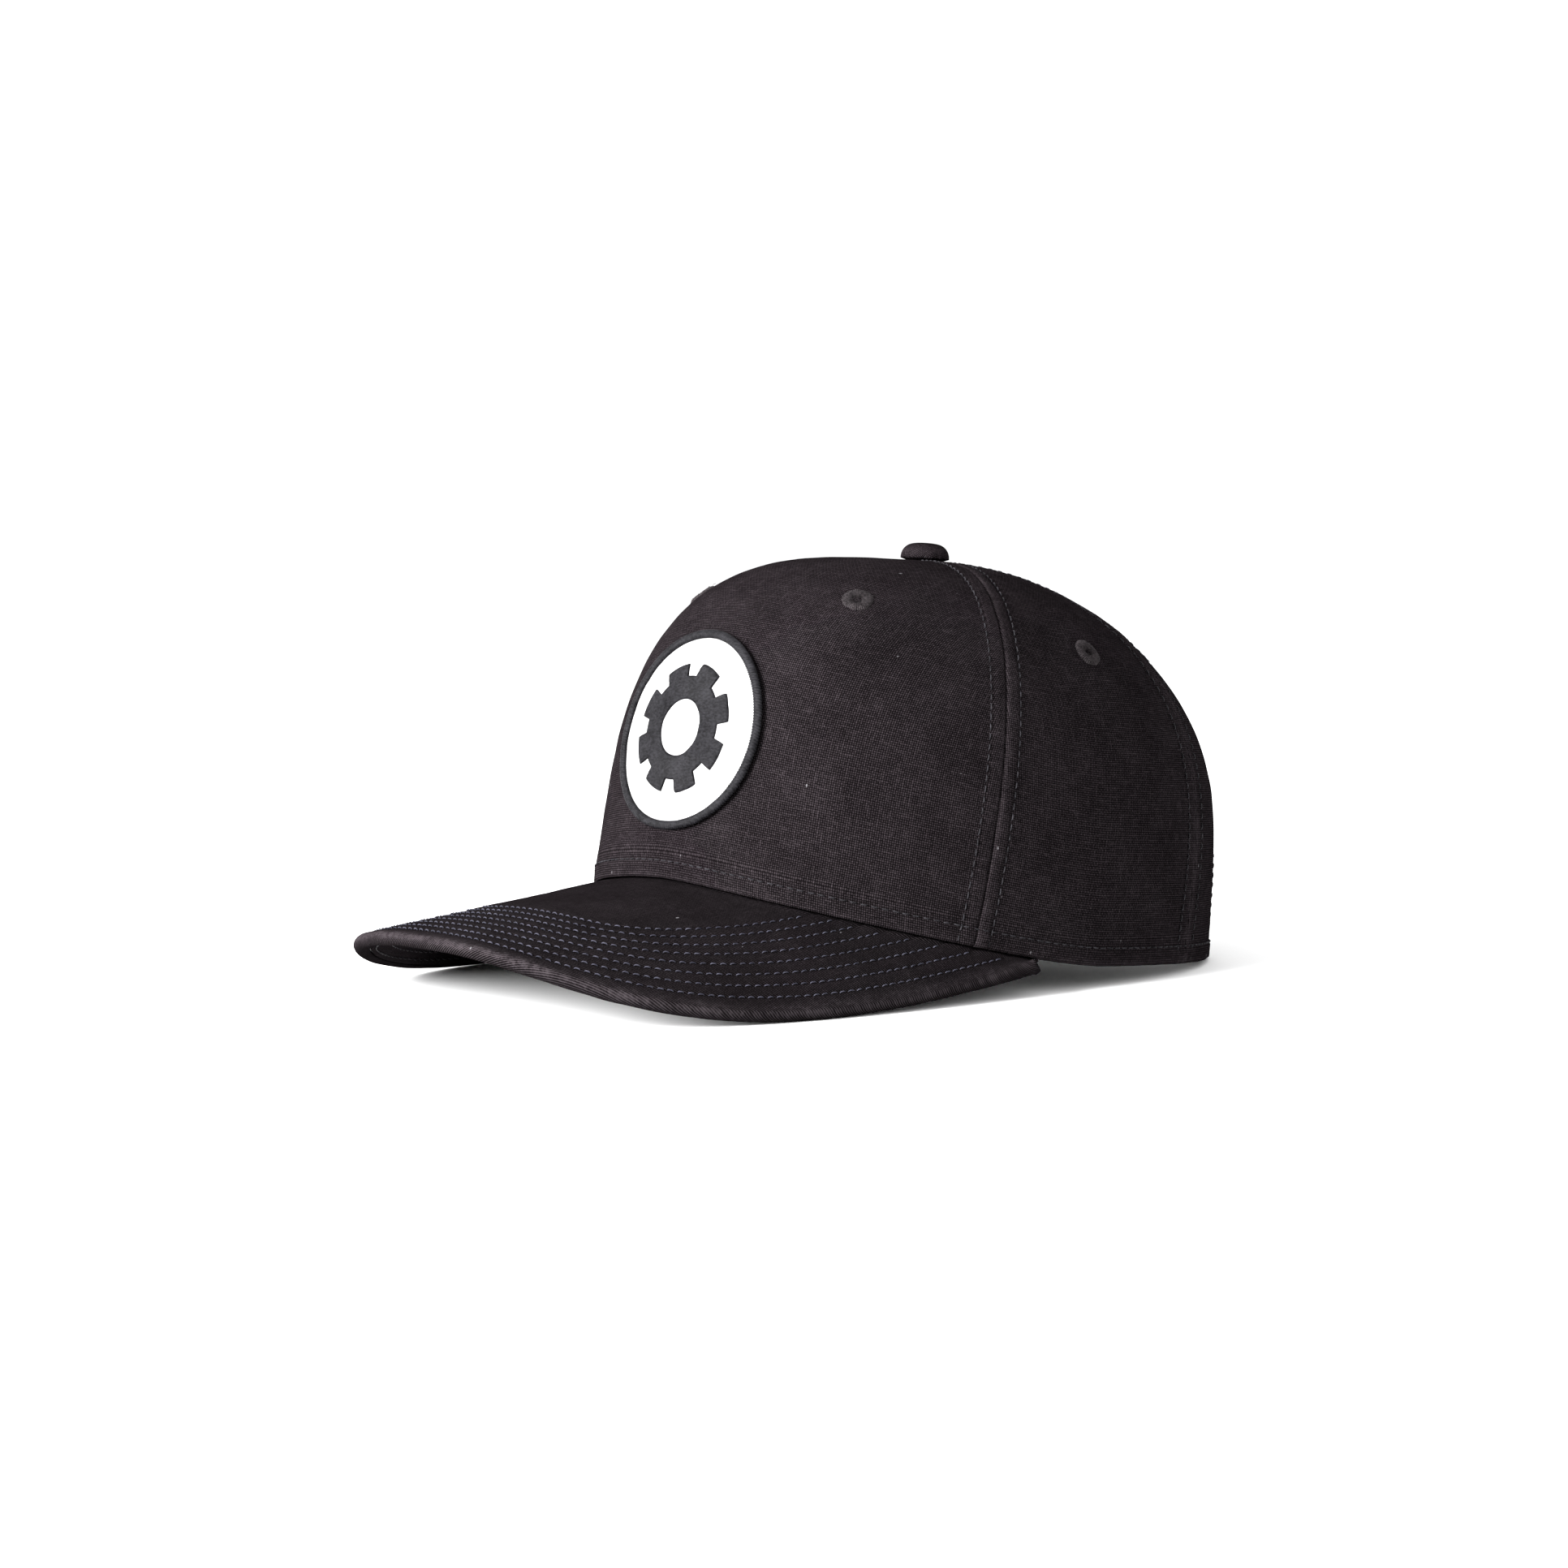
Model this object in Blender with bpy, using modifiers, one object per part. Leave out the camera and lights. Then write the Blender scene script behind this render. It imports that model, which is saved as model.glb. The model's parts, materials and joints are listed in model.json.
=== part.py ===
"""Bump cap: a five-panel fabric cap with a curved brim, a snap strap across a rear arch,
and a removable impact insert (a moulded shell on foam pads) inside its crown.

Frame: metres, Z up.  The cap stands on a table, Z = 0, on the two drooping sides of
its brim and on its back hem.  The wearer faces -Y and the wearer's left is +X.

Every piece is drawn in the hem frame, where Z = 0 is the plane of the back hem and the
Z axis passes through the crown button.  The empty "cap_frame" tips that frame back by
REST_PITCH and lifts it onto the table.

The crown is one smooth surface, crown_point(angle, up): the angle runs from 0 at the
front to +90 degrees at the wearer's left and 180 at the back, and up runs from 0 at
the hem to 1 at the top.  Every layer of the cap is that surface at some depth inside it.
"""
from math import atan2, cos, hypot, pi, radians, sin, sqrt

import bmesh
import bpy
import numpy as np
from mathutils import Matrix, Vector

# ---- Driving dimensions, in metres and degrees -------------------------------------------
HALF_WIDTH = 0.0889          # crown, button axis to its side
FRONT_REACH = 0.1010         # crown, button axis to its front
BACK_REACH = 0.0955          # crown, button axis to its back
CROWN_HEIGHT = 0.1172        # top of the crown over the plane of the back hem
HEM_BAND = 0.008            # upright band along the hem
HEM_RISE = 0.0182           # how far the hem rises at the front, to clear the brow
HEM_RISE_END = 93.2         # angle where that rise has died away
HEM_RISE_CURVE = 1.69
HEM_RISE_POWER = 1.68

# The wall from hem to top, for the front, the sides and the back of the crown:
# plan   exponent of the outline: 2 is an ellipse, more is squarer
# corner exponent of the shrinking outline: a small one makes a boxy shoulder
# climb  exponent of the height
# lean   share of the reach that is lost at the top
# bulge  share of the reach that is gained at half height
# tuck   share of the reach that is drawn in at the hem
WALL = {
    "front": {"plan": 2.39, "corner": 0.51, "climb": 0.61, "lean": 0.135, "bulge": -0.010, "tuck": 0.041},
    "side": {"plan": 2.10, "corner": 0.71, "climb": 0.78, "lean": 0.101, "bulge": 0.000, "tuck": 0.069},
    "back": {"plan": 2.68, "corner": 1.25, "climb": 0.58, "lean": 0.001, "bulge": 0.017, "tuck": 0.006},
}

# Seams between the five panels, as angles at the hem and at the top.
FRONT_SEAM = (64.0, 75.8)
BACK_SEAM = (119.5, 133.0)
SEAM_GAP = 0.0006           # between two panels
APEX_HOLE = 0.004           # radius of the hole that the button's post goes through
ROWS = 19                   # grid rows of a panel, from the hem to the apex hole
LINING_ROWS = (1, 17)       # the rows that tapes and buckram span

# Brim
BRIM_END = 77.0             # angle of its two ends on the hem
BRIM_HALF_WIDTH = 0.0848
BRIM_CENTRE_Y = -0.0245
BRIM_REACH = 0.1553          # from BRIM_CENTRE_Y to the tip
BRIM_PLAN = 3.04             # exponent of its outline
BRIM_TIP_Z = -0.0009
BRIM_END_Z = 0.0013
BRIM_DROOP = -0.0270         # drop of its sides
BRIM_DROOP_POWER = 0.74
BRIM_ARCH_POWER = 2.62
BRIM_THICKNESS = 0.0042
BRIM_CLOTH = 0.0008
BRIM_PLAY = 0.0008          # between the board and its covers
BRIM_COLUMNS = 30
BRIM_LIP = 0.0026            # how far the upper cover folds under the board's edge
BRIM_DROP = 0.0025          # middle of the brim under the hem's edge
BRIM_TUCK = 0.005           # seam allowance inside the crown

# Depths of the layers under the crown's outer surface
CLOTH = 0.0010              # thickness of a crown panel
LINING_DEPTH = 0.0016       # buckram, seam tapes and arch binding
LINING = 0.0006
SWEATBAND_DEPTH = 0.0033
SWEATBAND = 0.0012
SWEATBAND_ROWS = (0.0005, HEM_BAND, 0.020, 0.032)  # from its lower to its upper edge
SHELL_DEPTH = 0.0058
SHELL = 0.0020
PAD_DEPTH = 0.0089
PAD = 0.0050
SHELL_DRAFT = 0.0062        # how far the shell stays inside the hem's outline, to come out

# Rear arch and strap
ARCH_HALF_WIDTH = 0.0480
ARCH_HEIGHT = 0.0540
ARCH_SPRING = 0.0240        # height where the arch's round top starts
STRAP_PITCH = 0.0095
STRAP_SNAPS = 7
STRAP_LOW = 0.0020
STRAP_HIGH = 0.0210
STRAP_THICKNESS = 0.0012
STRAP_OUTER_DEPTH = 0.0016
STRAP_INNER_DEPTH = 0.0032
STRAP_HINGE = 0.0482        # hinge to the middle of the back, along the hem
SNAP_HOLE = 0.0026
PEG_BASE = 0.0018
PEG_TIP = 0.0013
PEG_HEIGHT = 0.0022

# Patch on the front panel
PATCH_UP = 0.270
PATCH_RADIUS = 0.0303
PATCH_BORDER = 0.0012       # tube radius of the whipped border
PATCH_BASE = 0.0010

# Eyelets, as angle and up on the wearer's left; each has a twin on the right
EYELETS = {"front": (35.0, 0.576), "side": (98.6, 0.572), "back": (149.0, 0.572)}
EYELET_RADIUS = 0.0045
EYELET_HOLE = 0.0014

BUTTON_RADIUS = 0.0072
BUTTON_HEIGHT = 0.0050

REST_PITCH = 4.47            # how far the cap tips back when it stands on a table

GAP = 0.0004                # running gap between neighbouring solids
WELD = 0.00001


# ---- The crown's surface -------------------------------------------------------------------
def hem_height(angle):
    """Height of the hem's edge over the plane of the back hem."""
    share = min(abs(angle) / radians(HEM_RISE_END), 1.0)
    return HEM_RISE * (1 - share ** HEM_RISE_CURVE) ** HEM_RISE_POWER


def wall_point(angle, climb):
    """A point of the crown: climb is -1..0 on the hem band and 0..1 from there to the top."""
    forward = max(cos(angle), 0.0) ** 2
    backward = max(-cos(angle), 0.0) ** 2
    shares = {"front": forward, "side": 1 - forward - backward, "back": backward}
    mix = {key: sum(shares[zone] * WALL[zone][key] for zone in shares) for key in WALL["front"]}
    above = max(climb, 0.0)
    level = sin(above * pi / 2) ** mix["climb"]
    reach = max(cos(above * pi / 2), 0.0) ** mix["corner"]
    reach *= 1 - mix["lean"] * level + 4 * mix["bulge"] * level * (1 - level)
    reach *= 1 - mix["tuck"] * (1 - above) ** 4
    reach *= (abs(sin(angle)) ** mix["plan"] + abs(cos(angle)) ** mix["plan"]) ** (-1 / mix["plan"])
    length = FRONT_REACH if cos(angle) > 0 else BACK_REACH
    base = hem_height(angle) + HEM_BAND
    return Vector((
        HALF_WIDTH * sin(angle) * reach,
        -length * cos(angle) * reach,
        base + (CROWN_HEIGHT - base) * level + min(climb, 0.0) * HEM_BAND,
    ))


def share_table():
    """The wall's length at even steps around the crown, and what lies at even shares of it.

    A climb is stored as root, where climb = 1 - root ** 3, which is smooth up to the top.
    """
    roots = np.linspace(1, 0, 400)
    rows = []
    lengths = []
    for angle in TABLE_ANGLES:
        points = np.array([wall_point(angle, 1 - root ** 3) for root in roots])
        steps = np.linalg.norm(np.diff(points, axis=0), axis=1)
        along = HEM_BAND + np.concatenate([[0.0], np.cumsum(steps)])
        rows.append(np.interp(TABLE_SHARES, along / along[-1], roots))
        lengths.append(along[-1])
    return np.array(rows), np.array(lengths)


TABLE_ANGLES = np.linspace(-pi, pi, 73)
TABLE_SHARES = np.linspace(0, 1, 201)
TABLE_ROOTS, TABLE_LENGTHS = share_table()


def wrapped(angle):
    """The same angle between -180 and 180 degrees."""
    return (angle + pi) % (2 * pi) - pi


def wall_length(angle):
    """Length of the crown's surface from the hem's edge to the top."""
    return float(np.interp(wrapped(angle), TABLE_ANGLES, TABLE_LENGTHS))


def crown_point(angle, up):
    """A point of the crown's outer surface; up is the share of the wall's length, 0 to 1."""
    band = HEM_BAND / wall_length(angle)
    if up < band:
        return wall_point(angle, up / band - 1)
    column = (wrapped(angle) + pi) / (2 * pi) * (len(TABLE_ANGLES) - 1)
    before = min(int(column), len(TABLE_ANGLES) - 2)
    low, high = (float(np.interp(up, TABLE_SHARES, TABLE_ROOTS[before + step])) for step in (0, 1))
    root = low + (high - low) * (column - before)
    return wall_point(angle, 1 - root ** 3)


def slopes(angle, up):
    """Change of crown_point with its angle and with up."""
    turn = 0.002
    low = min(max(up - 0.003, 0.0), 0.985)
    high = low + 0.006 if up > 0.003 else up + 0.003
    level = min(up, 0.995)
    around = (crown_point(angle + turn, level) - crown_point(angle - turn, level)) / (2 * turn)
    return around, (crown_point(angle, high) - crown_point(angle, low)) / (high - low)


def inset(angle, up, depth):
    """The point at a depth under the crown's outer surface."""
    around, upward = slopes(angle, up)
    return crown_point(angle, up) - around.cross(upward).normalized() * depth


def turn_for(angle, up, distance):
    """The angle that spans a distance around the crown."""
    return distance / max(slopes(angle, up)[0].length, 0.001)


def row_up(angle, row):
    """How far up the wall a grid row lies, which every layer of the crown shares.

    Row 0 is the hem's edge, row 1 the top of the hem band and row ROWS the apex hole.
    """
    length = wall_length(angle)
    if row < 1:
        return row * HEM_BAND / length
    share = (row - 1) / (ROWS - 1)
    return (HEM_BAND + (length - APEX_HOLE - HEM_BAND) * share) / length


EVEN_ANGLES = np.linspace(pi / 2, 3 * pi / 2, 721)


def back_angles():
    """Distance along the back hem from its middle, positive to the wearer's left."""
    points = [crown_point(angle, 0.0) for angle in EVEN_ANGLES]
    steps = [0.0] + [(b - a).length for a, b in zip(points, points[1:])]
    along = np.cumsum(steps)
    return along[-1] / 2 - along


BACK_DISTANCES = back_angles()


def back_angle(distance):
    """The angle at a distance along the back hem."""
    return float(np.interp(-distance, -BACK_DISTANCES, EVEN_ANGLES))


def seam(ends, up):
    """Angle of a seam at a height, given its angles at the hem and at the top."""
    return radians(ends[0] + (ends[1] - ends[0]) * up ** 0.8)


# ---- Building helpers ----------------------------------------------------------------------
def clear_scene():
    for item in list(bpy.data.objects):
        bpy.data.objects.remove(item, do_unlink=True)


def collection(name):
    made = bpy.data.collections.new(name)
    bpy.context.scene.collection.children.link(made)
    return made


def paint(name, colour, roughness, metallic=0.0):
    """A plain Principled material; colour is linear RGB."""
    material = bpy.data.materials.new(name)
    material.use_nodes = True
    shader = material.node_tree.nodes["Principled BSDF"]
    shader.inputs["Base Color"].default_value = (*colour, 1.0)
    shader.inputs["Roughness"].default_value = roughness
    shader.inputs["Metallic"].default_value = metallic
    return material


def add_object(name, shape, material, group, smooth=40.0):
    """Turns a bmesh into a named object in the hem frame."""
    mesh = bpy.data.meshes.new(name)
    shape.to_mesh(mesh)
    shape.free()
    mesh.shade_smooth()
    mesh.set_sharp_from_angle(angle=radians(smooth))
    item = bpy.data.objects.new(name, mesh)
    item.parent = CAP_FRAME
    if material:
        mesh.materials.append(material)
    group.objects.link(item)
    return item


def thicken(item, thickness):
    """Gives an open sheet its thickness, away from the side that it faces."""
    solid = item.modifiers.new("Thickness", "SOLIDIFY")
    solid.thickness = thickness
    solid.offset = -1
    solid.use_even_offset = True
    solid.use_quality_normals = True


def sheet(name, place, columns, rows, thickness, material, closed=False):
    """A panel: a grid bent onto place(across, along), both 0 to 1, and then made thick."""
    shape = bmesh.new()
    bmesh.ops.create_grid(shape, x_segments=columns, y_segments=rows, size=0.5)
    for vert in shape.verts:
        vert.co = place(vert.co.x + 0.5, vert.co.y + 0.5)
    if closed:
        bmesh.ops.remove_doubles(shape, verts=shape.verts, dist=WELD)
    item = add_object(name, shape, material, CAP)
    thicken(item, thickness)
    return item


def disc(name, place, columns, thickness, material):
    """A round panel: a square grid rounded to a unit disc and bent onto place(x, y)."""
    def rounded(across, along):
        x = 2 * across - 1
        y = 2 * along - 1
        return place(x * sqrt(1 - y * y / 2), y * sqrt(1 - x * x / 2))
    return sheet(name, rounded, columns, columns, thickness, material)


def turned(name, profile, material, base, steps=16):
    """A turned piece about the button's axis: profile is (radius, height) from top to bottom."""
    shape = bmesh.new()
    verts = [shape.verts.new((radius, 0.0, base + height)) for radius, height in profile]
    for first, second in zip(verts, verts[1:]):
        shape.edges.new((first, second))
    item = add_object(name, shape, material, CAP)
    screw = item.modifiers.new("Turn", "SCREW")
    screw.steps = steps
    screw.render_steps = steps
    screw.use_merge_vertices = True
    screw.merge_threshold = WELD
    return item


def cutter(name, shape):
    """A hidden tool body."""
    item = add_object(name, shape, None, CUTTERS)
    item.hide_render = True
    item.display_type = "WIRE"
    return item


def combine(item, tool, operation):
    step = item.modifiers.new(operation.title(), "BOOLEAN")
    step.operation = operation
    step.solver = "EXACT"
    step.object = tool


def cone_along(shape, start, direction, radii, length, segments=12):
    """Adds a cone frustum to a bmesh, from start along direction."""
    turn = direction.to_track_quat("Z", "Y").to_matrix().to_4x4()
    middle = Matrix.Translation(start + direction.normalized() * length / 2)
    bmesh.ops.create_cone(
        shape, cap_ends=True, segments=segments, radius1=radii[0], radius2=radii[1],
        depth=length, matrix=middle @ turn)


def hang(item, pivot):
    """Moves a piece's origin onto its hinge and leaves its shape where it is."""
    item.data.transform(Matrix.Translation(-pivot))
    item.location = pivot


# ---- Crown ---------------------------------------------------------------------------------
def panel(name, low_edge, high_edge, columns):
    """A crown panel between two seams, each given as a function of up."""
    def place(across, along):
        low = low_edge(along)
        high = high_edge(along)
        up = row_up(low + (high - low) * across, along * ROWS)
        margin = turn_for((low + high) / 2, up, SEAM_GAP / 2)
        return crown_point(low + margin + (high - low - 2 * margin) * across, up)
    return sheet(name, place, columns, ROWS, CLOTH, CANVAS)


def make_panels():
    def front(up):
        return seam(FRONT_SEAM, up)

    def back(up):
        return seam(BACK_SEAM, up)

    return {
        "front": panel("front_panel", lambda up: -front(up), front, 20),
        "side_left": panel("side_panel_left", front, back, 7),
        "side_right": panel("side_panel_right", lambda up: -back(up), lambda up: -front(up), 7),
        "back_left": panel("back_panel_left", back, lambda up: pi, 10),
        "back_right": panel("back_panel_right", lambda up: -pi, lambda up: -back(up), 10),
    }


def make_buckram():
    """The stiff lining of the front panel."""
    def place(across, along):
        row = LINING_ROWS[0] + along * (LINING_ROWS[1] - LINING_ROWS[0])
        up = row_up(0.0, row)
        edge = seam(FRONT_SEAM, up)
        edge -= turn_for(edge, up, 0.006)
        angle = edge * (2 * across - 1)
        return inset(angle, row_up(angle, row), LINING_DEPTH)
    return sheet("front_buckram", place, 18, LINING_ROWS[1] - LINING_ROWS[0], LINING, BUCKRAM)


def seam_tape(name, centre, first_row):
    """A tape sewn over a seam's allowance, inside the crown."""
    rows = LINING_ROWS[1] - first_row

    def place(across, along):
        up = row_up(centre(0.5), first_row + rows * along)
        middle = centre(up)
        return inset(middle + turn_for(middle, up, 0.009) * (across - 0.5), up, LINING_DEPTH)
    return sheet(name, place, 2, rows, LINING, TAPE)


def make_tapes():
    for side, name in ((1, "left"), (-1, "right")):
        for ends, place in ((FRONT_SEAM, "front"), (BACK_SEAM, "back")):
            seam_tape(f"seam_tape_{place}_{name}", lambda up, s=side, e=ends: s * seam(e, up), 1)
    seam_tape("seam_tape_rear", lambda up: pi, 8)


def make_button():
    """The covered button, the rivet that holds it and the washer under the crown."""
    top = CROWN_HEIGHT + GAP
    dome = [(BUTTON_RADIUS * cos(a), BUTTON_HEIGHT * sin(a) ** 0.9 + 0.0006) for a in np.linspace(pi / 2, 0, 9)]
    dome[0] = (0.0, dome[0][1])
    rim = [(BUTTON_RADIUS - 0.0004, 0.0), (BUTTON_RADIUS - 0.0016, 0.0)]
    inner = [(BUTTON_RADIUS - 0.0016, 0.0014), (0.0, 0.0036)]
    turned("button_cover", dome + rim + inner, CANVAS, top)
    flange = [(0.0, 0.0022), (0.0045, 0.0010), (0.0045, 0.0002), (0.0015, 0.0002)]
    turned("button_rivet", flange + [(0.0015, -0.0026), (0.0, -0.0026)], STEEL, top)
    washer = [(0.0019, 0.0), (0.0070, 0.0), (0.0070, -0.0008), (0.0019, -0.0008), (0.0019, 0.0)]
    turned("button_washer", washer, STEEL, CROWN_HEIGHT - CLOTH - 2 * GAP)


def make_eyelets(panels, buckram):
    """Embroidered vent rings, each in its own hole through the cloth."""
    tools = {}
    for place, (degrees, up) in EYELETS.items():
        for side, name in ((1, "left"), (-1, "right")):
            angle = radians(degrees) * side
            centre = inset(angle, up, CLOTH / 2)
            around, upward = slopes(angle, up)
            outward = around.cross(upward).normalized()
            shape = bmesh.new()
            cone_along(shape, centre - outward * 0.004, outward, (EYELET_RADIUS + GAP,) * 2, 0.008, 20)
            tools[place, name] = cutter(f"cut_eyelet_{place}_{name}", shape)
            ring_radius = (EYELET_RADIUS - EYELET_HOLE) / 2
            bpy.ops.mesh.primitive_torus_add(
                major_segments=12, minor_segments=5,
                major_radius=EYELET_HOLE + ring_radius, minor_radius=ring_radius)
            ring = bpy.context.object
            ring.data.transform(Matrix.Diagonal((1, 1, 0.55, 1)))
            ring.data.transform(outward.to_track_quat("Z", "Y").to_matrix().to_4x4())
            ring.data.transform(Matrix.Translation(centre))
            ring.data.shade_smooth()
            ring.name = f"eyelet_{place}_{name}"
            ring.data.materials.append(THREAD)
            ring.parent = CAP_FRAME
            for owner in ring.users_collection:
                owner.objects.unlink(ring)
            CAP.objects.link(ring)
    for name in ("left", "right"):
        combine(panels["front"], tools["front", name], "DIFFERENCE")
        combine(buckram, tools["front", name], "DIFFERENCE")
        combine(panels["side_" + name], tools["side", name], "DIFFERENCE")
        combine(panels["back_" + name], tools["back", name], "DIFFERENCE")


# ---- Patch ---------------------------------------------------------------------------------
def on_patch(across, along, lift):
    """A point over the front panel, in metres across and along from the patch's centre."""
    up = PATCH_UP + along / wall_length(0.0)
    return inset(turn_for(0.0, up, across), up, -lift)


def make_patch():
    """A round felt patch with a whipped border and a plain cog embroidered on it."""
    felt = PATCH_RADIUS - 2 * PATCH_BORDER - GAP
    disc("patch_base", lambda x, y: on_patch(felt * x, felt * y, GAP + PATCH_BASE), 8, PATCH_BASE, FELT)

    bpy.ops.mesh.primitive_torus_add(
        major_segments=32, minor_segments=5,
        major_radius=PATCH_RADIUS - PATCH_BORDER, minor_radius=PATCH_BORDER)
    border = bpy.context.object
    for vert in border.data.vertices:
        vert.co = on_patch(vert.co.x, vert.co.y, GAP + PATCH_BORDER * 0.8 + vert.co.z * 0.8)
    border.data.shade_smooth()
    border.name = "patch_border"
    border.data.materials.append(THREAD)
    border.parent = CAP_FRAME
    for owner in border.users_collection:
        owner.objects.unlink(border)
    CAP.objects.link(border)

    teeth = 8
    steps = teeth * 6

    def cog(across, along):
        turn = -2 * pi * across
        step = round(across * steps) % 6
        tip = 0.0195 if 2 <= step <= 4 else 0.0155
        radius = 0.0085 + (tip - 0.0085) * along
        return on_patch(radius * sin(turn), radius * cos(turn), 2 * GAP + PATCH_BASE + 0.0006)
    sheet("patch_emblem", cog, steps, 1, 0.0006, THREAD, closed=True)


# ---- Brim ----------------------------------------------------------------------------------
def brim_lines(across):
    """Inner and outer ends of one line of the brim's middle surface; across is -1 to 1."""
    inner = crown_point(across * radians(BRIM_END), 0.0)
    inner.z -= BRIM_DROP
    turn = across * pi / 2
    size = (abs(sin(turn)) ** BRIM_PLAN + abs(cos(turn)) ** BRIM_PLAN) ** (-1 / BRIM_PLAN)
    forward = abs(cos(turn)) * size
    x = BRIM_HALF_WIDTH * sin(turn) * size
    share = abs(x / BRIM_HALF_WIDTH) ** BRIM_ARCH_POWER
    side_z = BRIM_END_Z + BRIM_DROOP * forward ** BRIM_DROOP_POWER
    return inner, Vector((x, BRIM_CENTRE_Y - BRIM_REACH * forward, BRIM_TIP_Z * (1 - share) + side_z * share))


def brim_point(across, run, lift):
    """A point of the brim: run is metres from the hem's outline towards the edge."""
    inner, outer = brim_lines(across)
    line = outer - inner
    span = line.length
    level = Vector((inner.x, inner.y, 0.0)).normalized()
    spot = inner + (level * run if run < 0 else line * (run / span))
    step = 0.01
    low = brim_lines(max(across - step, -1.0))
    high = brim_lines(min(across + step, 1.0))
    share = min(max(run / span, 0.0), 1.0)
    sideways = low[0].lerp(low[1], share) - high[0].lerp(high[1], share)
    tucked, open_side = (way.cross(sideways).normalized() for way in (level, line))
    normal = tucked if run < 0 else open_side
    if run == 0:
        normal = (tucked + open_side) / (1 + tucked.dot(open_side))
    if normal.z < 0:
        normal.negate()
    return spot + normal * lift


def brim_span(across):
    inner, outer = brim_lines(across)
    return (outer - inner).length


def brim_sheet(name, runs, lift, thickness, material):
    """A layer of the brim; runs(span) lists its rows, each a run or a (run, lift) pair.

    Its columns stand closer together towards the two ends of the brim.
    """
    count = len(runs(0.05)) - 1

    def place(across, along):
        side = 1 - 2 * across
        side *= 1.3 - 0.3 * side ** 2
        run = runs(brim_span(side))[round(along * count)]
        if isinstance(run, tuple):
            return brim_point(side, *run)
        return brim_point(side, run, lift)
    return sheet(name, place, BRIM_COLUMNS, count, thickness, material)


def make_brim():
    """A stiff board between an upper cover, which wraps its edge, and an under cover."""
    half = BRIM_THICKNESS / 2
    board = half - BRIM_CLOTH - BRIM_PLAY

    def shared(span):
        """The rows that all three layers share, from the seam allowance to the lip."""
        end = span - half - BRIM_LIP - BRIM_PLAY
        return [-BRIM_TUCK] + [max(end, 0.0) * step / 5 + min(end, 0.0) * (step + 5) / 10 for step in range(6)]

    def top_runs(span):
        edge = span - half
        wrap = [(edge + half * sin(pi * step / 4), half * cos(pi * step / 4)) for step in range(5)]
        return shared(span) + wrap + [(edge - BRIM_LIP, -half)]

    brim_sheet("brim_top_cover", top_runs, half, BRIM_CLOTH, TWILL)
    brim_sheet("brim_board", lambda span: shared(span) + [span - half - BRIM_PLAY], board, 2 * board, BOARD)
    brim_sheet("brim_under_cover", shared, -board - BRIM_PLAY, BRIM_CLOTH, TWILL)


# ---- Inside the hem ------------------------------------------------------------------------
def make_sweatband():
    """The absorbent band around the opening; its ends stop beside the rear arch."""
    end = back_angle(ARCH_HALF_WIDTH + 0.0065)

    def place(across, along):
        angle = end * (2 * across - 1)
        height = SWEATBAND_ROWS[round(along * (len(SWEATBAND_ROWS) - 1))]
        return inset(angle, height / wall_length(angle), SWEATBAND_DEPTH)
    sheet("sweatband", place, 46, len(SWEATBAND_ROWS) - 1, SWEATBAND, TERRY)


def make_arch(panels):
    """Cuts the rear arch and binds its round top."""
    shape = bmesh.new()
    outline = [(-ARCH_HALF_WIDTH, -0.01), (ARCH_HALF_WIDTH, -0.01)]
    for step in range(17):
        turn = pi * step / 16
        height = ARCH_SPRING + (ARCH_HEIGHT - ARCH_SPRING) * sin(turn)
        outline.append((ARCH_HALF_WIDTH * cos(turn), height))
    face = shape.faces.new([shape.verts.new((x, 0.03, z)) for x, z in outline])
    grown = bmesh.ops.extrude_face_region(shape, geom=[face])
    moved = [part for part in grown["geom"] if isinstance(part, bmesh.types.BMVert)]
    bmesh.ops.translate(shape, verts=moved, vec=(0.0, 0.12, 0.0))
    bmesh.ops.recalc_face_normals(shape, faces=shape.faces)
    tool = cutter("cut_arch", shape)
    combine(panels["back_left"], tool, "DIFFERENCE")
    combine(panels["back_right"], tool, "DIFFERENCE")

    def place(across, along):
        turn = pi * across
        grow = 0.0008 + 0.0070 * along
        x = (ARCH_HALF_WIDTH + grow) * cos(turn)
        height = ARCH_SPRING + 0.001 + (ARCH_HEIGHT - ARCH_SPRING + grow) * sin(turn)
        return back_wall(x, height, LINING_DEPTH + 0.0002)
    sheet("arch_binding", place, 30, 2, LINING, TAPE)


def back_wall(x, height, depth):
    """The point of the back wall at a sideways place and a height."""
    up = height / wall_length(pi)
    angle = pi
    for _ in range(12):
        point = crown_point(angle, up)
        up = min(max(up + (height - point.z) / wall_length(pi), 0.0), 0.9)
        angle -= (x - point.x) / hypot(point.x, point.y)
    return inset(angle, up, depth)


# ---- Strap ---------------------------------------------------------------------------------
def strap_depth(distance, inner):
    """Depth of a strap's outer face: the inner strap steps in under the outer one."""
    if not inner:
        return STRAP_OUTER_DEPTH
    share = min(max((distance + STRAP_HINGE - 0.002) / 0.016, 0.0), 1.0)
    return STRAP_OUTER_DEPTH + (STRAP_INNER_DEPTH - STRAP_OUTER_DEPTH) * share * share * (3 - 2 * share)


def strap_point(distance, height, depth):
    """A point at a distance along the back hem, positive to the wearer's left."""
    angle = back_angle(distance)
    return inset(angle, height / wall_length(angle), depth)


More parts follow.
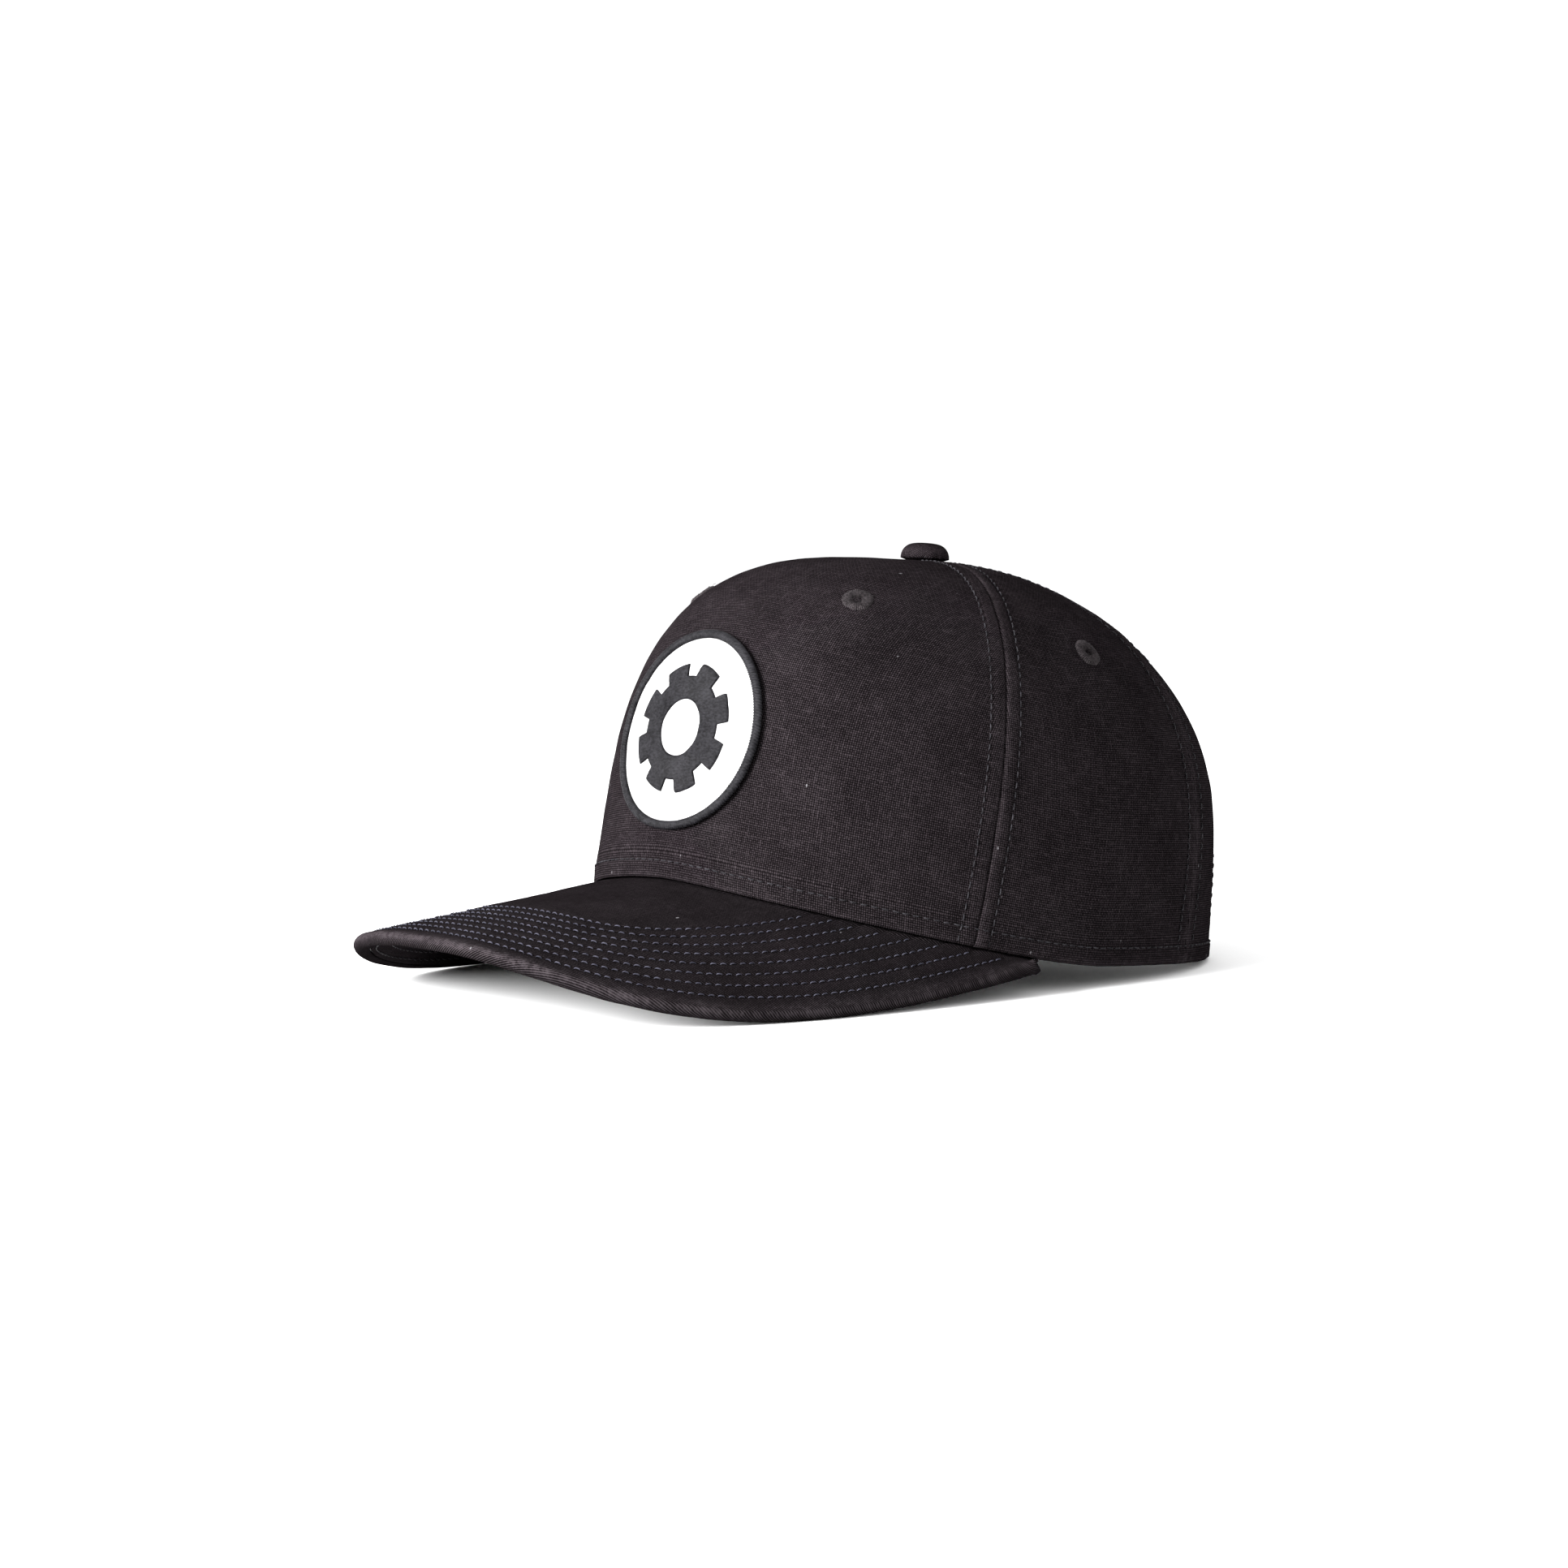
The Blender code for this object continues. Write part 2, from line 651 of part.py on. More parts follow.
def strap_band(name, start, end, inner, columns):
    """A moulded band along the back hem, with a rounded tip where it has a free end."""
    middle = (STRAP_LOW + STRAP_HIGH) / 2
    half = (STRAP_HIGH - STRAP_LOW) / 2
    free = abs(end - start) > 0.03
    flip = 1 if end < start else -1

    def place(across, along):
        share = sin(across * pi / 2) if free else across
        distance = start + (end - start) * share
        past = max(half - abs(end - distance), 0.0) / half if free else 0.0
        tall = half * sqrt(max(1 - (0.93 * past) ** 2, 0.0))
        return strap_point(distance, middle + flip * tall * (2 * along - 1), strap_depth(distance, inner))
    return sheet(name, place, columns, 3, STRAP_THICKNESS, SNAP_PLASTIC)


def outward_at(distance, height):
    """The outward direction of the straps at a place along the back hem."""
    return (strap_point(distance, height, 0.0) - strap_point(distance, height, 0.001)).normalized()


def make_strap():
    """Two sewn-in roots, a strap of holes from the left and a strap of pegs from the right."""
    middle = (STRAP_LOW + STRAP_HIGH) / 2
    overlap = 2 * STRAP_PITCH
    tip = overlap + 0.0066
    clear = 0.0006
    socket = strap_band("strap_socket", STRAP_HINGE - clear, -tip, False, 20)
    peg_strap = strap_band("strap_peg", -STRAP_HINGE + clear, tip, True, 20)
    strap_band("strap_root_left", STRAP_HINGE + 0.0130, STRAP_HINGE + 0.0013, False, 4)
    strap_band("strap_root_right", -STRAP_HINGE - 0.0013, -STRAP_HINGE - 0.0130, False, 4)

    holes = bmesh.new()
    pegs = bmesh.new()
    for index in range(STRAP_SNAPS):
        along = -overlap + STRAP_PITCH * index
        outward = outward_at(along, middle)
        cone_along(holes, strap_point(along, middle, 0.006), outward, (SNAP_HOLE,) * 2, 0.010)
        peg_depth = strap_depth(-along, True)
        outward = outward_at(-along, middle)
        base = strap_point(-along, middle, peg_depth + STRAP_THICKNESS / 2)
        cone_along(pegs, base, outward, (PEG_BASE, PEG_TIP), PEG_HEIGHT + STRAP_THICKNESS / 2)
    combine(socket, cutter("cut_snap_holes", holes), "DIFFERENCE")
    combine(peg_strap, cutter("add_snap_pegs", pegs), "UNION")
    hang(socket, strap_point(STRAP_HINGE, middle, STRAP_OUTER_DEPTH + STRAP_THICKNESS / 2))
    hang(peg_strap, strap_point(-STRAP_HINGE, middle, STRAP_OUTER_DEPTH + STRAP_THICKNESS / 2))


# ---- Impact insert -------------------------------------------------------------------------
def insert_point(angle, up, depth):
    """A point of the insert: parallel to the crown, but upright where the hem would catch it."""
    point = inset(angle, up, depth)
    hem = crown_point(angle, 0.0)
    limit = hypot(hem.x, hem.y) - SHELL_DRAFT - (depth - SHELL_DEPTH)
    radius = hypot(point.x, point.y)
    if radius > limit:
        point.x *= limit / radius
        point.y *= limit / radius
    return point


def shell_edge(angle):
    """How far up the shell's lower edge is: lowest at the front, highest over the arch."""
    share = (1 - cos(angle)) / 2
    return (0.046 + 0.026 * share ** 2) / wall_length(angle)


def make_shell():
    """The moulded dome, with rows of vent slots."""
    def place(x, y):
        angle = atan2(x, -y)
        reach = min(hypot(x, y), 1.0)
        return insert_point(angle, 1 - (1 - shell_edge(angle)) * reach, SHELL_DEPTH)
    shell = disc("bump_shell", place, 18, SHELL, ABS)
    slots = bmesh.new()
    for ring, (up, count, half_length) in enumerate(((0.80, 6, 0.0075), (0.60, 8, 0.0095))):
        for index in range(count):
            angle = 2 * pi * (index + 0.5 * ring + 0.5) / count
            around, upward = slopes(angle, up)
            outward = around.cross(upward).normalized()
            along = upward.normalized()
            centre = inset(angle, up, SHELL_DEPTH + SHELL / 2)
            frame = Matrix((along, outward.cross(along), outward)).transposed().to_4x4()
            size = Matrix.Diagonal((2 * half_length, 0.0044, 0.014, 1))
            bmesh.ops.create_cube(slots, size=1.0, matrix=Matrix.Translation(centre) @ frame @ size)
    combine(shell, cutter("cut_vent_slots", slots), "DIFFERENCE")


def pad_sheet(name, centre, half_turn, low, high, columns, rows):
    """A foam pad with rounded corners, glued under the shell."""
    def place(across, along):
        x = 2 * across - 1
        y = 2 * along - 1
        round_x = x * sqrt(1 - 0.32 * y ** 4)
        round_y = y * sqrt(1 - 0.32 * x ** 4)
        up = (low + high) / 2 + (high - low) / 2 * round_y
        return insert_point(centre + half_turn * round_x, up, PAD_DEPTH)
    return sheet(name, place, columns, rows, PAD, FOAM)


def make_pads():
    low = 0.33
    pad_sheet("foam_front", 0.0, radians(34), low, 0.66, 10, 6)
    pad_sheet("foam_left", radians(90), radians(26), low + 0.03, 0.66, 8, 6)
    pad_sheet("foam_right", radians(-90), radians(26), low + 0.03, 0.66, 8, 6)
    pad_sheet("foam_rear", radians(180), radians(30), low + 0.12, 0.70, 10, 5)

    def crown_pad(x, y):
        return insert_point(atan2(x, -y), 1 - 0.20 * min(hypot(x, y), 1.0), PAD_DEPTH)
    disc("foam_crown", crown_pad, 8, PAD, FOAM)


def make_dots():
    """Hook and loop discs that hold the insert in the crown."""
    radius = 0.011
    up = 0.72
    loop = LINING_DEPTH + LINING + GAP
    for name, degrees in {"front": 0.0, "left": 97.0, "right": -97.0, "rear": 180.0}.items():
        angle = radians(degrees)

        def place(x, y, depth):
            turn = turn_for(angle, up, radius * x)
            return inset(angle + turn, up + radius * y / wall_length(angle), depth)
        disc(f"loop_dot_{name}", lambda x, y: place(x, y, loop), 5, 0.0010, LOOP)
        disc(f"hook_dot_{name}", lambda x, y: place(x, y, loop + 0.0010 + GAP), 5, 0.0014, HOOK)


# ---- Assembly ------------------------------------------------------------------------------
def settle():
    """Tips the hem frame back and puts the whole cap on Z = 0, centred on the origin."""
    CAP_FRAME.rotation_euler = (-radians(REST_PITCH), 0.0, 0.0)
    bpy.context.view_layer.update()
    corners = []
    graph = bpy.context.evaluated_depsgraph_get()
    for item in CAP.objects:
        if item.type == "MESH":
            solid = item.evaluated_get(graph)
            mesh = solid.to_mesh()
            corners += [solid.matrix_world @ vert.co for vert in mesh.vertices]
            solid.to_mesh_clear()
    low = [min(corner[axis] for corner in corners) for axis in range(3)]
    high = [max(corner[axis] for corner in corners) for axis in range(3)]
    CAP_FRAME.location = (-(low[0] + high[0]) / 2, -(low[1] + high[1]) / 2, -low[2])


def main():
    panels = make_panels()
    buckram = make_buckram()
    make_tapes()
    make_button()
    make_eyelets(panels, buckram)
    make_patch()
    make_brim()
    make_sweatband()
    make_arch(panels)
    make_strap()
    make_shell()
    make_pads()
    make_dots()
    settle()


clear_scene()
CAP = collection("bump_cap")
CUTTERS = collection("cutters")
CAP_FRAME = bpy.data.objects.new("cap_frame", None)
CAP.objects.link(CAP_FRAME)
CANVAS = paint("crown_canvas", (0.019, 0.016, 0.018), 0.9)
TWILL = paint("brim_twill", (0.017, 0.015, 0.017), 0.85)
BUCKRAM = paint("buckram", (0.30, 0.29, 0.27), 0.9)
TAPE = paint("seam_tape", (0.022, 0.020, 0.022), 0.85)
TERRY = paint("sweatband", (0.020, 0.018, 0.020), 0.95)
THREAD = paint("black_thread", (0.012, 0.012, 0.014), 0.6)
FELT = paint("white_felt", (0.80, 0.80, 0.79), 0.95)
BOARD = paint("brim_board", (0.62, 0.62, 0.60), 0.6)
STEEL = paint("button_steel", (0.55, 0.55, 0.56), 0.35, 1.0)
SNAP_PLASTIC = paint("snap_plastic", (0.015, 0.015, 0.016), 0.45)
ABS = paint("shell_abs", (0.030, 0.032, 0.035), 0.4)
FOAM = paint("foam", (0.06, 0.06, 0.065), 0.95)
LOOP = paint("loop_tape", (0.02, 0.02, 0.022), 0.95)
HOOK = paint("hook_tape", (0.02, 0.02, 0.022), 0.8)
main()
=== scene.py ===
"""Looks for the bump cap: sewn canvas crown, twill brim, felt patch and a padded insert."""
import json
from math import cos, pi, radians, sin

import bmesh
import bpy
import numpy as np
from mathutils import Matrix, Vector

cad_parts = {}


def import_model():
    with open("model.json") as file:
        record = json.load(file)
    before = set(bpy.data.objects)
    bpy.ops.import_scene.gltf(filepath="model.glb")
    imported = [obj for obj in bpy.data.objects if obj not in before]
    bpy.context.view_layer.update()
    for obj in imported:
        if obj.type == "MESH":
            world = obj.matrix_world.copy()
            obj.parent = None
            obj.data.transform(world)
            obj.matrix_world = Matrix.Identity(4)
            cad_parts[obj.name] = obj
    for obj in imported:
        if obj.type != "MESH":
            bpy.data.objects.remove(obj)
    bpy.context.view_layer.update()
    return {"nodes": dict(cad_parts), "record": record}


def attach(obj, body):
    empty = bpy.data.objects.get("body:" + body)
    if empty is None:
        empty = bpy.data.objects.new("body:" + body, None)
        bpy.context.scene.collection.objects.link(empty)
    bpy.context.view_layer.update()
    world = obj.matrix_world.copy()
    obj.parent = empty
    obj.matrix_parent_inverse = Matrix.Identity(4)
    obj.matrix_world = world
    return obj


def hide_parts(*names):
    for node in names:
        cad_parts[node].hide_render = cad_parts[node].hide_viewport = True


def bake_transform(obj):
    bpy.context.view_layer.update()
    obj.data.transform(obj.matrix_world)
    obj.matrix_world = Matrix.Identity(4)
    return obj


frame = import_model()
record = frame["record"]

# ---- The hem frame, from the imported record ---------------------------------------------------
OPENING = next(m for m in record["mounts"] if m["name"] == "head_opening")
ORIGIN = np.array(OPENING["pos_m"])
UP = -np.array(OPENING["axis"])
BACKWARD = np.cross(UP, (1.0, 0.0, 0.0))
TURN = np.array([(1.0, 0.0, 0.0), BACKWARD, UP])

# ---- The crown's surface, in metres and in the hem frame -------------------------------------
HALF_WIDTH, FRONT_REACH, BACK_REACH, CROWN_HEIGHT = 0.0889, 0.1010, 0.0955, 0.1172
HEM_BAND, HEM_RISE, HEM_RISE_END, HEM_RISE_CURVE, HEM_RISE_POWER = 0.008, 0.0182, 93.2, 1.69, 1.68
WALL = {
    "plan": (2.39, 2.1, 2.68), "corner": (0.51, 0.71, 1.25), "climb": (0.61, 0.78, 0.58),
    "lean": (0.135, 0.101, 0.001), "bulge": (-0.01, 0.0, 0.017), "tuck": (0.041, 0.069, 0.006)}
FRONT_SEAM, BACK_SEAM = (64.0, 75.8), (119.5, 133.0)
ARCH_HALF_WIDTH, ARCH_HEIGHT, ARCH_SPRING = 0.0480, 0.0540, 0.0240
EYELETS = {"front": (35.0, 0.576), "side": (98.6, 0.572), "back": (149.0, 0.572)}
PATCH_UP, PATCH_RADIUS, PATCH_BORDER = 0.270, 0.0303, 0.0012
BRIM_END, BRIM_HALF_WIDTH, BRIM_CENTRE_Y, BRIM_REACH, BRIM_PLAN = 77.0, 0.0848, -0.0245, 0.1553, 3.04
BRIM_TIP_Z, BRIM_END_Z, BRIM_DROOP, BRIM_DROOP_POWER, BRIM_ARCH_POWER = -0.0009, 0.0013, -0.0270, 0.74, 2.62
BRIM_HALF, BRIM_DROP, BRIM_TUCK, BRIM_LIP, BRIM_CLOTH = 0.0021, 0.0025, 0.005, 0.0026, 0.0008
STITCH_PITCH, SEAM_STITCH, HEM_STITCH, ARCH_STITCH = 0.0031, 0.0052, 0.0054, 0.0058
STRAP_PITCH, STRAP_LOW, STRAP_HIGH, STRAP_HINGE = 0.0095, 0.0020, 0.0210, 0.0482
STRAP_OUTER_DEPTH, STRAP_INNER_DEPTH, STRAP_ROOT, STRAP_TIP = 0.0016, 0.0032, 0.0128, 0.0066
CANVAS_CLOTH, LINING_CLOTH, TAPE_WIDTH, TAPE_STITCH = 0.0009, 0.0005, 0.0088, 0.0034
LINING_DEPTH, SWEATBAND_DEPTH, PAD_DEPTH, SHELL_DEPTH, SHELL_DRAFT = 0.0016, 0.0033, 0.0089, 0.0058, 0.0062


def power(base, exponent):
    return np.maximum(base, 0.0) ** exponent


def bell(value, width):
    return np.exp(-(value / width) ** 2)


def unit(vectors):
    return vectors / np.linalg.norm(vectors, axis=-1, keepdims=True)


def lengths_along(points):
    """Distance of each point of a path from its first point."""
    return np.concatenate([[0], np.cumsum(np.linalg.norm(np.diff(points, axis=0), axis=1))])


def hem_height(angle):
    share = np.minimum(np.abs(angle) / radians(HEM_RISE_END), 1.0)
    return HEM_RISE * (1 - share ** HEM_RISE_CURVE) ** HEM_RISE_POWER


def wall_points(angle, climb):
    """Points of the crown: climb is -1..0 on the hem band and 0..1 from there to the top."""
    forward = power(np.cos(angle), 2)
    backward = power(-np.cos(angle), 2)
    shares = (forward, 1 - forward - backward, backward)
    mix = {key: sum(s * v for s, v in zip(shares, values)) for key, values in WALL.items()}
    above = np.maximum(climb, 0.0)
    level = np.sin(above * pi / 2) ** mix["climb"]
    reach = power(np.cos(above * pi / 2), mix["corner"])
    reach = reach * (1 - mix["lean"] * level + 4 * mix["bulge"] * level * (1 - level))
    reach = reach * (1 - mix["tuck"] * (1 - above) ** 4)
    plan = mix["plan"]
    reach = reach * (np.abs(np.sin(angle)) ** plan + np.abs(np.cos(angle)) ** plan) ** (-1 / plan)
    length = np.where(np.cos(angle) > 0, FRONT_REACH, BACK_REACH)
    base = hem_height(angle) + HEM_BAND
    return np.stack([
        HALF_WIDTH * np.sin(angle) * reach,
        -length * np.cos(angle) * reach,
        base + (CROWN_HEIGHT - base) * level + np.minimum(climb, 0.0) * HEM_BAND], -1)


ANGLES = np.linspace(-pi, pi, 181)
SHARES = np.linspace(0, 1, 301)
_roots = np.linspace(1, 0, 600)
_walls = wall_points(ANGLES[:, None], 1 - _roots[None, :] ** 3)
_along = HEM_BAND + np.concatenate(
    [np.zeros((len(ANGLES), 1)), np.cumsum(np.linalg.norm(np.diff(_walls, axis=1), axis=2), axis=1)], axis=1)
LENGTHS = _along[:, -1]
ROOTS = np.array([np.interp(SHARES, row / row[-1], _roots) for row in _along])


def wrapped(angle):
    return (angle + pi) % (2 * pi) - pi


def length_at(angle):
    return np.interp(wrapped(np.asarray(angle, float)), ANGLES, LENGTHS)


def crown(angle, up):
    """Points of the crown's outer surface; up is the share of the wall's length, 0 to 1."""
    angle, up = np.broadcast_arrays(np.asarray(angle, float), np.asarray(up, float))
    column = (wrapped(angle) + pi) / (2 * pi) * (len(ANGLES) - 1)
    before = np.minimum(column.astype(int), len(ANGLES) - 2)
    part = column - before
    place = np.clip(up, 0, 1) * (len(SHARES) - 1)
    row = np.minimum(place.astype(int), len(SHARES) - 2)
    rest = place - row

    def root(col):
        return ROOTS[col, row] * (1 - rest) + ROOTS[col, row + 1] * rest
    climb = 1 - (root(before) * (1 - part) + root(before + 1) * part) ** 3
    band = HEM_BAND / length_at(angle)
    return wall_points(angle, np.where(up < band, up / band - 1, climb))


def outward(angle, up):
    """Unit outward directions of the crown."""
    level = np.clip(up, 0.003, 0.992)
    around = crown(angle + 0.002, level) - crown(angle - 0.002, level)
    upward = crown(angle, level + 0.003) - crown(angle, level - 0.003)
    return unit(np.cross(around, upward))


def inset(angle, up, depth):
    return crown(angle, up) - outward(angle, up) * np.asarray(depth)[..., None]


def seam_angle(ends, up):
    return np.radians(ends[0] + (ends[1] - ends[0]) * np.asarray(up) ** 0.8)


def turn_for(angle, up, distance):
    step = np.linalg.norm(crown(angle + 0.002, up) - crown(angle - 0.002, up), axis=-1) / 0.004
    return distance / np.maximum(step, 0.001)


_back = np.linspace(pi / 2, 3 * pi / 2, 1441)
_run = lengths_along(crown(_back, 0.0))
_run = _run[-1] / 2 - _run


def back_angle(distance):
    return np.interp(-np.asarray(distance, float), -_run, _back)


def world(points):
    return np.asarray(points) @ TURN + ORIGIN


def noise(a, b, size, seed):
    """Smooth value noise, -1 to 1, with features of a given size."""
    grid = np.random.default_rng(seed).uniform(-1, 1, (97, 97))
    x, y = np.asarray(a) / size + 31.7, np.asarray(b) / size + 17.3
    i, j = np.floor(x).astype(int), np.floor(y).astype(int)
    u, v = x - i, y - j
    u, v = u * u * (3 - 2 * u), v * v * (3 - 2 * v)
    i, j, k, l = i % 97, j % 97, (i + 1) % 97, (j + 1) % 97
    low = grid[i, j] * (1 - u) + grid[k, j] * u
    return low * (1 - v) + (grid[i, l] * (1 - u) + grid[k, l] * u) * v


def smooth(low, high, value):
    share = np.clip((value - low) / (high - low), 0, 1)
    return share * share * (3 - 2 * share)


# ---- Mesh helpers ------------------------------------------------------------------------------
def placed(name, data):
    """A new object in the scene for a mesh, a light or the camera."""
    item = bpy.data.objects.new(name, data)
    bpy.context.scene.collection.objects.link(item)
    return item


def mesh_object(name, points, faces, material, uv=None, wear=None):
    """An object from hem-frame points; uv is metres per point, wear a 0..1 shade per point."""
    mesh = bpy.data.meshes.new(name)
    mesh.from_pydata(world(points).tolist(), [], [tuple(face) for face in faces])
    mesh.update()
    corners = np.empty(len(mesh.loops), np.int32)
    mesh.loops.foreach_get("vertex_index", corners)
    if uv is not None:
        layer = mesh.uv_layers.new(name="cloth")
        layer.data.foreach_set("uv", np.asarray(uv, np.float32)[corners].ravel())
    shade = mesh.attributes.new("wear", "FLOAT", "POINT")
    shade.data.foreach_set("value", np.zeros(len(points), np.float32) if wear is None
                           else np.asarray(wear, np.float32).ravel())
    mesh.shade_smooth()
    mesh.materials.append(material)
    return placed(name, mesh)


def grid_faces(rows, cols, closed=False):
    i, j = np.meshgrid(np.arange(rows - 1), np.arange(cols if closed else cols - 1), indexing="ij")
    k = (j + 1) % cols
    return np.stack([i * cols + j, i * cols + k, (i + 1) * cols + k, (i + 1) * cols + j], -1).reshape(-1, 4)


def grid_object(name, points, material, uv=None, wear=None, closed=False):
    rows, cols = points.shape[:2]
    return mesh_object(
        name, points.reshape(-1, 3), grid_faces(rows, cols, closed), material,
        None if uv is None else uv.reshape(-1, 2), None if wear is None else wear.ravel())


def apply_all(item):
    graph = bpy.context.evaluated_depsgraph_get()
    mesh = bpy.data.meshes.new_from_object(item.evaluated_get(graph))
    old = item.data
    item.modifiers.clear()
    item.data = mesh
    bpy.data.meshes.remove(old)
    return item


def thick(item, thickness):
    """Gives an open sheet its thickness, inward from the sheet."""
    step = item.modifiers.new("Thickness", "SOLIDIFY")
    step.thickness = thickness
    step.offset = -1
    step.use_even_offset = False
    bpy.context.view_layer.update()
    return apply_all(item)


def metres(points):
    """Distance along each row and up each column of a grid of points."""
    across = np.linalg.norm(np.diff(points, axis=1), axis=2)
    across = np.concatenate([np.zeros((len(points), 1)), np.cumsum(across, axis=1)], axis=1)
    along = np.linalg.norm(np.diff(points, axis=0), axis=2)
    along = np.concatenate([np.zeros((1, points.shape[1])), np.cumsum(along, axis=0)], axis=0)
    return across, along


def sheet(name, points, material):
    """A grid object whose cloth coordinates are distances over its own surface."""
    return grid_object(name, points, material, np.stack(metres(points), -1))


def settle(item, body, slot, *nodes):
    """Puts a finished piece on its body and hides the CAD nodes it replaces; slot is not used."""
    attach(item, body)
    if nodes:
        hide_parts(*nodes)
    return item


def stitches(name, paths, material, pitch=STITCH_PITCH, gap=0.0009, radius=0.00022, lift=0.00012):
    """Rows of thread: each path is (points, normals), and each stitch dips in at both ends."""
    verts, faces = [], []
    shares = np.array([0.0, 0.10, 0.32, 0.68, 0.90, 1.0])
    heights = np.array([-1.9, 0.1, 0.9, 0.9, 0.1, -1.9]) * radius + lift
    widths = np.array([0.45, 0.9, 1.0, 1.0, 0.9, 0.45]) * radius
    around = np.linspace(0, 2 * pi, 6, endpoint=False)[None, :, None]
    cosines, sines = np.cos(around), np.sin(around)
    rng = np.random.default_rng(7)
    for points, normals in paths:
        steps = lengths_along(points)
        count = max(int(steps[-1] / pitch), 1)
        for index in range(count):
            start = index * pitch + rng.uniform(-0.00012, 0.00012)
            at = np.clip(start + shares * (pitch - gap), 0, steps[-1])
            spot = np.stack([np.interp(at, steps, points[:, k]) for k in range(3)], -1)
            up = unit(np.stack([np.interp(at, steps, normals[:, k]) for k in range(3)], -1))
            ahead = spot[-1] - spot[0]
            size = np.linalg.norm(ahead)
            if size < pitch * 0.3:
                continue
            side = unit(np.cross(up, ahead / size))
            drift = rng.uniform(-0.00010, 0.00010) * (shares - 0.5)[:, None] * 2
            centre = spot + up * heights[:, None] + side * drift
            ring = cosines * side[:, None] + sines * up[:, None] * 0.9
            ring = centre[:, None] + widths[:, None, None] * ring
            base = len(verts)
            verts.extend(ring.reshape(-1, 3))
            faces.extend((grid_faces(6, 6, True) + base).tolist())
            faces.append([base + k for k in range(5, -1, -1)])
            faces.append([base + 30 + k for k in range(6)])
    settle(mesh_object(name, np.array(verts), faces, material), "cap", "black_thread")


def along_crown(angles, ups, lift):
    return inset(angles, ups, -np.full(len(angles), lift)), outward(angles, ups)


# ---- Materials ---------------------------------------------------------------------------------
class Paint:
    """A Principled material with short calls for its nodes."""

    def __init__(self, name, rough, metallic=0.0, sheen=0.0, specular=0.5):
        self.material = bpy.data.materials.new(name)
        self.material.use_nodes = True
        self.tree = self.material.node_tree
        self.shader = self.tree.nodes["Principled BSDF"]
        self.set(rough, "Roughness")
        self.set(metallic, "Metallic")
        self.set(specular, "Specular IOR Level")
        self.set(sheen, "Sheen Weight")
        self.shader.inputs["Sheen Roughness"].default_value = 0.5

    def feed(self, socket, value):
        if isinstance(value, bpy.types.NodeSocket):
            self.tree.links.new(value, socket)
        else:
            socket.default_value = value

    def set(self, value, socket):
        self.feed(self.shader.inputs[socket], value)

    def node(self, kind, *values, out=0, **settings):
        made = self.tree.nodes.new("ShaderNode" + kind)
        for key, value in settings.items():
            setattr(made, key, value)
        for socket, value in zip(made.inputs, values):
            if value is not None:
                self.feed(socket, value)
        return made.outputs[out]

    def math(self, operation, *values):
        return self.node("Math", *values, operation=operation)

    def add(self, *values):
        return self.math("ADD", *values)

    def times(self, *values):
        return self.math("MULTIPLY", *values)

    def mapped(self, low, high, value, to_low=0.0, to_high=1.0):
        return self.node("MapRange", value, low, high, to_low, to_high)

    def texture(self, kind, where, **values):
        made = self.tree.nodes.new("ShaderNodeTex" + kind)
        self.feed(made.inputs["Vector"], where)
        for name, value in values.items():
            made.inputs[name].default_value = value
        return made.outputs

    def noise(self, where, scale, detail=2.0, rough=0.5):
        return self.texture("Noise", where, Scale=scale, Detail=detail, Roughness=rough)["Fac"]

    def mix(self, share, first, second):
        made = self.tree.nodes.new("ShaderNodeMix")
        made.data_type = "RGBA"
        self.feed(made.inputs[0], share)
        for place, colour in ((6, first), (7, second)):
            self.feed(made.inputs[place], (*colour, 1.0) if isinstance(colour, tuple) else colour)
        return made.outputs[2]

    def shades(self, share, dark, light):
        self.set(self.mix(self.node("Clamp", share), dark, light), "Base Color")

    def bump(self, height, distance):
        made = self.tree.nodes.new("ShaderNodeBump")
        made.inputs["Strength"].default_value = 1.0
        made.inputs["Distance"].default_value = distance
        self.feed(made.inputs["Height"], height)
        self.set(made.outputs["Normal"], "Normal")

    def place(self, kind="Object"):
        return self.tree.nodes.new("ShaderNodeTexCoord").outputs[kind]

    def stretched(self, where, scale):
        return self.node("Mapping", where, None, None, scale)


